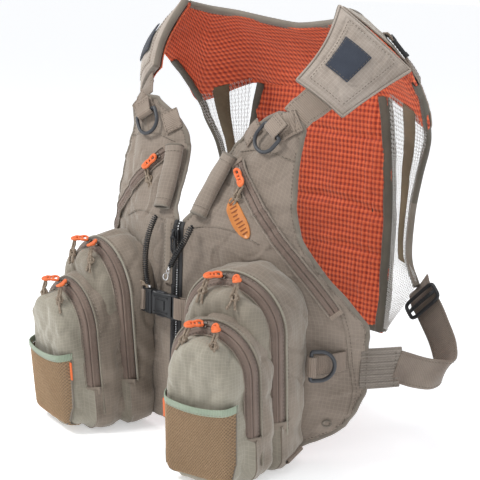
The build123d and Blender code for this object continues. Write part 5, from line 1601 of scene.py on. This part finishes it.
def build_back():
    body = "back"
    g1, g2 = waves(77, 9), waves(78, 8)

    def yoke_h(G):
        """Soft hollows and pulls in the yoke, towards the wearer."""
        x, z = G[..., 0], G[..., 2]
        h = 2.2 * g1(G, 110.0) + 1.1 * g2(G, 38.0)
        h = h + 1.5 * np.exp(-((z - (418 + 0.035 * x)) / 7.0) ** 2) * np.exp(-(x / 120.0) ** 2)
        return h

    # yoke
    nc, nt = 600, 200
    G = yoke(nc, nt, more=0.07)
    N = gnormals(G)
    N = -N if N[300, 100, 1] > 0 else N            # towards the wearer
    uv = grid_uv(G)
    uv = np.stack([uv[..., 1], uv[..., 0]], -1)
    edge = np.minimum(1, np.minimum(np.arange(nt)[None] / 6.0, (nt - 1 - np.arange(nt))[None] / 6.0)) * np.minimum(1, np.minimum(np.arange(nc)[:, None] / 6.0, (nc - 1 - np.arange(nc))[:, None] / 6.0))
    H = yoke_h(G) * edge + relief(uv, 1.0) - 0.2
    ac = Acc()
    slab(ac, G + N * H[..., None], -2.6, 0.0, ORANGE, N, back=LINING, uv=uv)
    # back pad
    zz = np.array([b[0] for b in BP])[::-1]
    hw = np.array([b[1] for b in BP])[::-1]
    nz, nx = 400, 330
    Z = np.linspace(97.0, 404.5, nz)
    S = np.linspace(-1, 1, nx)
    Wd = np.interp(Z, zz, hw)
    X = Wd[:, None] * S[None]
    Yb = 129.5 - 2.5 * S[None] ** 2 - 2.5 * np.clip((130 - Z) / 14.0, 0, 1)[:, None]
    G = np.stack([X, Yb * np.ones_like(X), np.repeat(Z[:, None], nx, 1)], -1)
    N = gnormals(G)
    N = -N if N[100, 100, 1] > 0 else N
    uv = G[..., [0, 2]] / 1000.0
    e1 = (1 - np.abs(S[None]) ** 8) * np.clip((Z - 97) / 9.0, 0, 1)[:, None] ** 0.5 * np.clip((404.5 - Z) / 60.0, 0, 1)[:, None] ** 0.6
    # quilting lines and broad creases
    crown = 4.2 * e1 - 1.0
    cr = 2.6 * np.exp(-((Z[:, None] - (352 + 0.05 * X - 8 * np.sin(X / 60.0))) / 5.0) ** 2)
    cr = cr + 3.4 * np.exp(-((Z[:, None] - (262 - 0.10 * X + 5 * np.sin(X / 31.0))) / 6.5) ** 2)
    cr = cr + 2.2 * np.exp(-((Z[:, None] - (196 + 0.06 * X + 4 * np.sin(X / 24.0))) / 6.0) ** 2)
    cr = cr + 1.2 * np.exp(-((np.abs(X) - 92 + 2.5 * np.sin(Z[:, None] / 16.0)) / 2.6) ** 2) + 0.9 * np.exp(-((np.abs(X) - 78 + 2.0 * np.sin(Z[:, None] / 13.0 + 1)) / 2.6) ** 2)
    Hh = crown - cr + 1.9 * g1(G, 80.0) + 1.0 * g2(G, 30.0)
    Hh = Hh * np.clip(e1 * 3, 0, 1) + relief(uv, 1.0) - 0.2
    slab(ac, G + N * Hh[..., None], -2.6, 0.0, ORANGE, N, back=LINING, uv=uv)
    ac.make("back_mesh", body, repl=("mesh_linings",))

    # outer shells
    ac = Acc()
    nc, nt = 220, 80
    G = yoke(nc, nt)
    N = gnormals(G)
    N = N if N[110, 40, 1] > 0 else -N
    H = 0.7 * g1(G + 50, 70.0) + 0.5 * g2(G + 9, 26.0)
    slab(ac, G + N * np.clip(H, -1.2, 1.2)[..., None], 3.5, 5.3, KHAKI, N, back=LINING)
    for k in (0.86, 0.80):
        row = G[:, int(k * (nt - 1))] + N[:, int(k * (nt - 1))] * (5.4 + np.clip(H, -1.2, 1.2)[:, int(k * (nt - 1))])[:, None]
        stitches(ac, row, N[:, int(k * (nt - 1))])
    Z = np.linspace(97.0, 403.5, 110)
    S = np.linspace(-1, 1, 90)
    Wd = np.interp(Z, zz, hw)
    X = Wd[:, None] * S[None]
    G = np.stack([X, 129.5 - 2.5 * S[None] ** 2 - 2.5 * np.clip((130 - Z) / 14.0, 0, 1)[:, None] + 0 * X, np.repeat(Z[:, None], 90, 1)], -1)
    N = gnormals(G)
    N = N if N[50, 40, 1] > 0 else -N
    e1 = (1 - np.abs(S[None]) ** 6) * np.clip((Z - 97) / 14.0, 0, 1)[:, None] ** 0.6 * np.clip((403.5 - Z) / 14.0, 0, 1)[:, None] ** 0.6
    H = 3.4 * e1 - 1.2 + 0.9 * g1(G + 20, 64.0) + 0.5 * g2(G + 3, 24.0)
    for zc in (170.0, 300.0):
        H = H - 1.6 * np.exp(-((Z[:, None] - zc) / 3.0) ** 2)
    for xc in (-62.0, 62.0):
        H = H - 1.4 * np.exp(-((X - xc) / 3.0) ** 2)
    H = np.clip(H, -1.6, 5.0)
    Gs = G + N * H[..., None]
    slab(ac, Gs, 9.6, 12.1, KHAKI, N, back=LINING)
    for zc in (167.6, 172.4, 297.6, 302.4):
        i = int(np.argmin(abs(Z - zc)))
        stitches(ac, Gs[i] + N[i] * 12.2, N[i])
    ac.make("shell_cloth", body, repl=("back_shells",))

    # foam between: seen only at edges
    ac = Acc()
    slab(ac, G * np.array([0.955, 1, 1]) + N * 0, 2.9, 9.4, FOAM, N)
    ac.make("pad_foam", body, repl=("foam_cores",))

    # bindings
    ac = Acc()
    G = yoke(220, 60)
    N = gnormals(G)
    N = -N if N[110, 30, 1] > 0 else N
    P, O, Nn = G[12:-12, 0], unit(G[12:-12, 0] - G[12:-12, 1]), N[12:-12, 0]
    binding(ac, P, O, Nn, 5.2, 7.5, BIND)
    stq = P - O * 5.6 + Nn * 1.3
    stitches(ac, stq, Nn)
    low = G[:, -1]
    for s in (1, -1):
        e = np.array([G[22, -1], *[np.array(k) for k in EDGE]])
        pts = smooth_path(np.concatenate([G[8:20:5, -1], e[1:]]), 260)
        T = unit(np.gradient(pts, axis=0))
        o = unit(np.repeat([[0.8, -0.6, 0.0]], len(pts), 0))
        o = unit(o - T * (o * T).sum(1, keepdims=True))
        n_ = np.cross(T, o)
        n_ = n_ * np.sign((n_ @ np.array([-0.5, -0.8, 0.0])).mean())
        frac = np.linspace(0, 1, len(pts))
        k = int(0.62 * len(pts))
        binding(ac, pts[:k + 1], o[:k + 1], n_[:k + 1], 4.6, 8.5, BIND_D, s, proud=1.3)
        binding(ac, pts[k:], o[k:], n_[k:], 4.6, 8.5, BIND, s, proud=1.3)
        stitches(ac, pts - o * 5.5 + n_ * 1.6, n_, s)
        # dark strip along the pad's side edge
        Zs = np.linspace(98, 403, 150)
        xs = np.interp(Zs, zz, hw)
        P = np.stack([xs, 127.0 - 2.5 * np.clip((130 - Zs) / 14.0, 0, 1), Zs], 1)
        T = unit(np.gradient(P, axis=0))
        o = unit(np.cross(T, [0.0, 1.0, 0.0]))
        o = o * np.sign(o[:, :1])
        wob = 0.9 * np.sin(Zs / 17.0) + 0.5 * np.sin(Zs / 7.3)
        P = P + o * wob[:, None] * 0.5
        binding(ac, P, o, np.repeat([[0.0, -1.0, 0.0]], len(P), 0), 11.5, 10.5, BIND_D, s, proud=2.2)
        stitches(ac, P - o * 8.2 + np.array([0, -2.6, 0]), np.array([0.0, -1.0, 0.0]), s)
    # foot of the pad
    xs = np.linspace(-121, 121, 120)
    P = np.stack([xs, 127.0 - 2.5 * (xs / 123) ** 2, np.full(120, 97.5)], 1)
    binding(ac, P, np.repeat([[0.0, 0.0, -1.0]], 120, 0), np.repeat([[0.0, -1.0, 0.0]], 120, 0), 11.0, 9.0, BIND_D, proud=1.4)
    ac.make("edge_bindings_cloth", body, repl=("edge_bindings",))

    # side netting: twisted yarns in hexagons, folded bands over it
    ac = Acc()
    A, B = smooth_path(np.array(INNER), 200), smooth_path(np.array(EDGE + [(132.0, 122.0, 104.0)]), 200)

    def net(a, b):
        """a down from 0 to 1, b across from the pad out."""
        i = np.asarray(a) * 199
        f = lambda Q: np.stack([np.interp(i, np.arange(200), Q[:, k]) for k in range(3)], -1)
        p, q = f(A), f(B)
        b = np.asarray(b)[..., None]
        up = np.clip(1 - np.asarray(a) * 7.0, 0, 1)[..., None]
        p = p + up * np.array([-2.0, -1.5, 40.0])
        q = q + up * np.array([3.5, -7.0, 14.0])
        bag = 2.2 * np.sin(PI * np.clip(b, 0, 1)) * np.sin(PI * np.clip(np.asarray(a)[..., None], 0, 1))
        return p * (1 - b) + q * b + np.array([0.25, 0.9, 0.0]) * bag * 0.5
    for s in (1, -1):
        ac = Acc()
        ny = 92
        for row in range(ny):
            a0 = row / ny
            w = np.linalg.norm(net(a0, 1.0) - net(a0, 0.0))
            m = max(3, int(w / 2.9))
            bs = np.linspace(0, 1, 2 * m + 1)
            zig = a0 + (np.where(np.arange(2 * m + 1) % 2 == 0, 0.0, 0.62) + 0.02 * np.sin(bs * 40)) / ny
            if row % 2:
                zig = a0 + (0.62 / ny) - (zig - a0)
            P = np.array([net(z, b) for z, b in zip(np.clip(zig, 0, 1), bs)])
            tubeg(ac, P, 0.34, NETW, 4, s=s, caps=False)
        for b in np.linspace(0.04, 0.96, 15):
            P = np.array([net(a, b + 0.008 * (-1) ** i) for i, a in enumerate(np.linspace(0, 1, 100))])
            tubeg(ac, P, 0.30, NETW, 4, s=s, caps=False)
        aa = np.linspace(0.0, 0.62, 90)
        gb = waves(91 if s > 0 else 92, 7)
        G = np.stack([net(aa, np.full(90, b) + 0.012 * np.sin(aa * 22)) for b in np.linspace(0.40, 0.68, 9)], 1)
        Nb = gnormals(G)
        Nb = Nb if Nb[20, 4, 1] < 0 else -Nb
        G = G + Nb * (0.8 + 0.7 * np.sin(np.linspace(0, PI, 9))[None] + 0.5 * gb(G, 26.0))[..., None]
        slab(ac, G, -0.7, 0.7, OLIVE, Nb, s=s)
        for c in (1, 7):
            stitches(ac, G[:, c] + Nb[:, c] * 0.8, Nb[:, c], s)
        side_ = "left" if s > 0 else "right"
        ga, gb_ = np.meshgrid(np.linspace(0, 1, 40), np.linspace(0, 1, 12), indexing="ij")
        SIZES[f"{side_}_side_net"] = cloth_size(net(ga, gb_))
        ac.make(f"{side_}_side_net", body, repl=("side_netting",))

    # webbing: straps, belt, yoke webbing, ladder locks
    ac = Acc()
    BELT = [(177.0, 117.5, 174.0), (190.0, 103.0, 166.5), (205.0, 96.0, 154.5), (226.0, 85.0, 136.0), (246.0, 71.0, 115.5), (257.0, 57.0, 101.0), (255.0, 42.0, 96.0), (244.0, 23.0, 100.0), (231.5, 5.8, 107.0), (225.3, -2.8, 110.4)]
    BW = [(0.45, 0.25, 0.9), (0.45, 0.22, 0.9), (0.45, 0.2, 0.9), (0.45, 0.2, 0.9), (0.45, 0.2, 0.85), (0.38, 0.18, 0.9), (0.25, 0.12, 0.95), (0.1, 0.05, 1.0), (0.0, 0.0, 1.0)]
    YG = yoke(11, 6)
    YN = gnormals(YG)
    YN = YN if YN[5, 3, 1] > 0 else -YN

    def strap(path, wide, hw, t, n, mat, s, wob=0.6, seed=3):
        P = smooth_path(np.array(path), n)
        k = np.linspace(0, len(wide) - 1, n)
        Wv = unit(np.stack([np.interp(k, np.arange(len(wide)), np.array(wide)[:, i]) for i in range(3)], 1))
        T = unit(np.gradient(P, axis=0))
        Wv = unit(Wv - T * (Wv * T).sum(1, keepdims=True))
        b = np.linspace(-1, 1, 15)
        G = P[:, None] + Wv[:, None] * (b * hw)[None, :, None]
        Nq = gnormals(G)
        gw = waves(seed, 6)
        G = G + Nq * (wob * gw(G, 45.0) + 0.35 * (np.abs(b) ** 4)[None])[..., None]
        slab(ac, G, -t / 2, t / 2, mat, Nq, s=s)
        for c in (1, 13):
            for sg in (1, -1):
                stitches(ac, G[:, c] + Nq[:, c] * sg * (t / 2 + 0.08), Nq[:, c] * sg, s, THREAD)
        return G, Nq
    for s in (1, -1):
        strap([(118.5, -76.0, 390.5), (123.6, -70.6, 398.8), (126.5, -66.2, 402.0), (130.0, -60.5, 407.0), (136.0, -50.0, 416.0)], [(33, 4, -20), (33, 4, -20), (34, 9, -23), (36, 17, -28), (37, 20, -29)], 17.3, 2.2, 40, WEBT, s, 0.3)
        strap(BELT, BW, 18.8, 2.3, 150, BELTW, s, 1.3, 8)
        lw = [YG[1][1] * 0.4 + YG[1][2] * 0.6 + YN[1][1] * 7.4, YG[1][2] + YN[1][2] * 7.6, YG[1][3] + YN[1][3] * 7.8, YG[1][4] + YN[1][4] * 7.6]
        strap(lw, [unit(YG[2][2] - YG[0][2])] * 4, 12.5, 2.2, 50, WEBT, s, 0.5, 9)
        # ladder lock on that webbing
        c = YG[1][2] * 0.55 + YG[1][3] * 0.45 + YN[1][2] * 9.6
        ld = unit(YG[2][2] - YG[0][2])
        dr = unit(YG[1][3] - YG[1][2])
        ld = unit(ld - dr * (ld @ dr))
        nn = np.cross(ld, dr)
        nn = nn * np.sign(nn @ YN[1][2])
        for k in (-13.5, 13.5):
            bevel_box(ac, (3.0, 25.0, 4.4), c + ld * k, ld, dr, nn, BLACK, 1.0, 3, s)
        for k, h in ((-11.5, 1.6), (-3.0, 0.6), (4.0, 1.0), (11.5, 2.2)):
            bevel_box(ac, (27.0, 2.8, 3.2), c + dr * k + nn * (h - 0.6), ld, dr, nn, BLACK, 0.9, 3, s)
        bevel_box(ac, (27.0, 5.5, 2.0), c - dr * 13.6 + nn * 1.6, ld, dr, nn, BLACK, 0.8, 3, s, taper=0.92)
    ac.make("back_straps", body, repl=("back_webbing",))

    # tri-glides
    for s in (1, -1):
        side = "left" if s > 0 else "right"
        td = unit(np.array(BELT[2]) - np.array(BELT[1]))
        tw = unit(np.array(BW[1]) - td * (np.array(BW[1]) @ td))
        tn = unit(np.cross(tw, td))
        tn = tn if tn @ np.array([0.62, -0.75, 0.23]) > 0 else -tn
        c = (np.array(BELT[1]) + np.array(BELT[2])) / 2 + tn * 5.6
        ac = Acc()
        q = []
        for a in np.linspace(0, 2 * PI, 61)[:-1]:
            ca, sa = math.cos(a), math.sin(a)
            q.append(c + tw * 23.6 * np.sign(ca) * abs(ca) ** 0.32 + td * 11.1 * np.sign(sa) * abs(sa) ** 0.4)
        tubeg(ac, smooth_path(q, 120, True), 2.5, BLACK, 12, closed=True, s=s, flat=0.82, wide=np.cross(unit(np.roll(smooth_path(q, 120, True), -1, 0) - smooth_path(q, 120, True)), tn))
        tubeg(ac, np.array([c - tw * 23.0, c - tw * 12.0 + tn * 0.7, c + tn * 1.0, c + tw * 12.0 + tn * 0.7, c + tw * 23.0]), 2.6, BLACK, 12, s=s, flat=0.7, wide=td)
        for k in np.linspace(-16, 16, 9):
            tubeg(ac, np.array([c + tw * k - td * 2.2 + tn * 1.9, c + tw * k + tn * 2.8, c + tw * k + td * 2.2 + tn * 1.9]), 0.5, BLACK, 6, s=s)
        ac.make(f"{side}_glide", f"{side}_triglide", repl=(f"{side}_triglide",))


BELTW = webbing("belt_webbing", (0.165, 0.125, 0.098), (0.245, 0.198, 0.158), rib=0.0022, depth=0.6)
FOAM = ripstop("closed_foam", (0.030, 0.028, 0.026), (0.050, 0.047, 0.043), rough=0.9, cell=0.002, sheen=0.05)
build_back()


# ------------------------------------------------------------ shoulder pads
PA, PB = np.array([110.0, -66.0, 431.0]), np.array([157.0, -41.0, 393.5])
PD, PC = np.array([119.0, -5.0, 512.0]), np.array([196.0, 30.0, 445.0])
PN = unit(np.cross(PD - PA, PC - PB))
PN = PN if PN[1] < 0 else -PN
NECK = unit(PA + PD - PB - PC)


def pad(s_, t_):
    s_, t_ = np.broadcast_arrays(np.asarray(s_, float), np.asarray(t_, float))
    a, b = s_[..., None], t_[..., None]
    p = (PA * (1 - b) + PB * b) * (1 - a) + (PD * (1 - b) + PC * b) * a
    p = p + NECK * (-7.0 * np.sin(PI * a) * (1 - b))
    return p + PN * (17.0 * np.sin(PI * (0.12 + 0.76 * a)) * (0.55 + 0.45 * np.sin(PI * b)))


def build_pad(s, side):
    g1, g2 = waves(141 if s > 0 else 151, 9), waves(142 if s > 0 else 152, 8)
    ns, nt = 110, 84
    a, b = np.meshgrid(np.linspace(0, 1, ns), np.linspace(0, 1, nt), indexing="ij")
    G = pad(a, b)
    N = gnormals(G)
    N = N if (N[50, 40] @ PN) > 0 else -N
    ea = np.minimum(a, 1 - a) * 98.0
    eb = np.minimum(b, 1 - b) * 58.0
    ed = np.minimum(ea, eb)
    puff = 2.6 * (1 - np.exp(-ed / 9.0)) - 2.0 * np.exp(-ed / 2.2)
    seam = -1.1 * np.exp(-((ed - 7.6) / 1.1) ** 2)
    wr = 0.8 * g1(G, 42.0) + 0.35 * g2(G, 15.0) - 0.7 * crease(g2, G, 60.0, 0.16)
    H = puff + seam + wr * np.clip(ed / 8.0, 0, 1)
    top = G + N * H[..., None]
    ac = Acc()
    slab(ac, top, -1.8, 0.0, KHAKI_P, N, back=LINING, s=s)
    for k in (9.2, 11.2):
        ia = int(k / 98.0 * ns + 0.5)
        ib = int(k / 58.0 * nt + 0.5)
        for line in ((slice(ia, ns - ia), ib), (slice(ia, ns - ia), nt - 1 - ib)):
            stitches(ac, top[line] + N[line] * 0.15, N[line], s, THREAD_L if k > 10 else THREAD)
        for line in ((ia, slice(ib, nt - ib)), (ns - 1 - ia, slice(ib, nt - ib))):
            stitches(ac, top[line] + N[line] * 0.15, N[line], s, THREAD_L if k > 10 else THREAD)
    # bound edge round the whole pad
    idx = [(i, 0) for i in range(0, ns, 2)] + [(ns - 1, j) for j in range(0, nt, 2)] + [(i, nt - 1) for i in range(ns - 1, -1, -2)] + [(0, j) for j in range(nt - 1, -1, -2)]
    E = np.array([G[i] - N[i] * 4.6 for i in idx])
    E = smooth_path(E, 300, True)
    cen = pad(0.5, 0.5) - PN * 6
    NE = smooth_path(np.array([N[i] for i in idx]), 300, True)
    T = unit(np.roll(E, -1, 0) - np.roll(E, 1, 0))
    NE = unit(NE - T * (NE * T).sum(1, keepdims=True))
    tubeg(ac, E, 4.6, BIND, 12, closed=True, s=s, flat=0.5, wide=NE)
    tubeg(ac, E + NE * 4.0, 1.15, KHAKI_P, 8, closed=True, s=s)
    ac.make(f"{side}_pad_cover", "back", repl=("shoulder_covers",))
    cover = bpy.data.objects[f"{side}_pad_cover"]
    # foam core and mesh under it
    ac = Acc()
    Gi = pad(0.03 + a * 0.94, 0.03 + b * 0.94)
    slab(ac, Gi[::3, ::3], -10.6, -1.2, FOAM, N[::3, ::3], s=s)
    ac.make(f"{side}_pad_core", "back", repl=("foam_cores",))
    ac = Acc()
    Gl = pad(0.01 + a * 0.98, 0.015 + b * 0.97)
    uv = np.stack([b * 0.058, a * 0.098], -1)
    Hl = relief(uv, 0.5) + 1.2 * (1 - np.exp(-ed / 8.0))
    slab(ac, Gl - N * (11.2 + Hl)[..., None], 0.0, 1.4, ORANGE, -N, s=s, uv=uv)
    ac.make(f"{side}_pad_lining", "back", repl=("mesh_linings",))
    # hook patch, sewn down, with its tiny hooks
    q = pad(np.array([0.28, 0.28, 0.72, 0.72]), np.array([0.22, 0.62, 0.22, 0.62]))
    c = q.mean(0) + PN * 3.2
    px = unit((q[2] + q[3] - q[0] - q[1]))
    px = unit(px - PN * (px @ PN))
    py = np.cross(PN, px)
    ac = Acc()
    n = 57
    u_, v_ = np.meshgrid(np.linspace(-16.8, 16.8, n), np.linspace(-16.8, 16.8, n))
    edg = np.minimum(16.8 - np.abs(u_), 16.8 - np.abs(v_))
    rg = np.random.RandomState(9 if s > 0 else 10)
    hk = np.where(edg > 1.8, 0.35 * rg.rand(n, n) + 0.55, 0.15)
    base_p = pad(0.5 + u_ / 84.0, 0.42 + v_ / 84.0)
    Np = gnormals(base_p)
    Np = Np if (Np[20, 20] @ PN) > 0 else -Np
    Gp = base_p + Np * (4.6 + hk)[..., None]
    slab(ac, Gp, -1.4, 0.0, HOOK, Np, s=s)
    for line in (Gp[2], Gp[-3], Gp[:, 2], Gp[:, -3]):
        stitches(ac, line + PN * 0.1, PN, s)
    ac.make(f"{side}_hook_tape", "back", repl=("hook_patches",))
    return cover


PADS = [build_pad(1, "left"), build_pad(-1, "right")]


def floor_and_light():
    lo = min(CAD_BOX[0][2], CAD_BOX[1][2])
    me = bpy.data.meshes.new("floor")
    k = 60.0
    me.from_pydata([(-k, -k, lo - 0.001), (k, -k, lo - 0.001), (k, k, lo - 0.001), (-k, k, lo - 0.001)], [], [(0, 1, 2, 3)])
    o = bpy.data.objects.new("floor", me)
    bpy.context.scene.collection.objects.link(o)
    m = bpy.data.materials.new("floor_white")
    m.use_nodes = True
    b = m.node_tree.nodes["Principled BSDF"]
    b.inputs["Base Color"].default_value = (0.985, 0.988, 1.0, 1)
    b.inputs["Roughness"].default_value = 0.9
    b.inputs["Specular IOR Level"].default_value = 0.1
    me.materials.append(m)
    wd = bpy.data.worlds.new("white_room") if not bpy.data.worlds else bpy.data.worlds[0]
    bpy.context.scene.world = wd
    wd.use_nodes = True
    bg = wd.node_tree.nodes["Background"]
    bg.inputs[0].default_value = (0.985, 0.992, 1.0, 1)
    bg.inputs[1].default_value = 0.62
    white = wd.node_tree.nodes.new("ShaderNodeBackground")
    white.inputs[0].default_value = (1.0, 1.0, 1.0, 1)
    white.inputs[1].default_value = 1.0
    path = wd.node_tree.nodes.new("ShaderNodeLightPath")
    both = wd.node_tree.nodes.new("ShaderNodeMixShader")
    out = next(n for n in wd.node_tree.nodes if n.type == "OUTPUT_WORLD")
    wd.node_tree.links.new(path.outputs["Is Camera Ray"], both.inputs[0])
    wd.node_tree.links.new(bg.outputs[0], both.inputs[1])
    wd.node_tree.links.new(white.outputs[0], both.inputs[2])
    wd.node_tree.links.new(both.outputs[0], out.inputs["Surface"])
    b.inputs["Emission Color"].default_value = (0.96, 0.98, 1.0, 1)
    b.inputs["Emission Strength"].default_value = 0.38

    def area(name, loc, target, size, power, col):
        l = bpy.data.lights.new(name, "AREA")
        l.shape, l.size, l.energy, l.color = "DISK", size, power, col
        ob = bpy.data.objects.new(name, l)
        bpy.context.scene.collection.objects.link(ob)
        ob.location = loc
        d = Vector(target) - Vector(loc)
        ob.rotation_euler = d.to_track_quat("-Z", "Y").to_euler()
    area("key", (-0.7, -1.3, 1.3), (0.0, -0.1, -0.2), 0.55, 27.0, (1.0, 0.99, 0.97))
    area("fill", (1.7, -0.6, 0.5), (0.05, 0.0, -0.2), 1.0, 3.0, (0.95, 0.97, 1.0))
    area("top", (0.1, 0.2, 1.7), (0.0, 0.0, -0.2), 1.0, 9.0, (1.0, 1.0, 1.0))
    bpy.context.scene.view_settings.view_transform = "Standard"


# the socket's webbing is sewn to the left front; here it only gets its own copy of its mesh
strap_ = bpy.data.objects["socket_webbing"]
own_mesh(strap_)
for name_, held_, on_ in (("front_cloth", "stretched", "chest_zip"), ("mesh_pouch_cloth", "stretched", "small_pocket_face"), ("side_net", "stretched", "edge_bindings_cloth")):
    for side_ in ("left", "right"):
        w_, l_, a_ = SIZES[f"{side_}_{name_}"]
floor_and_light()
bpy.context.view_layer.update()
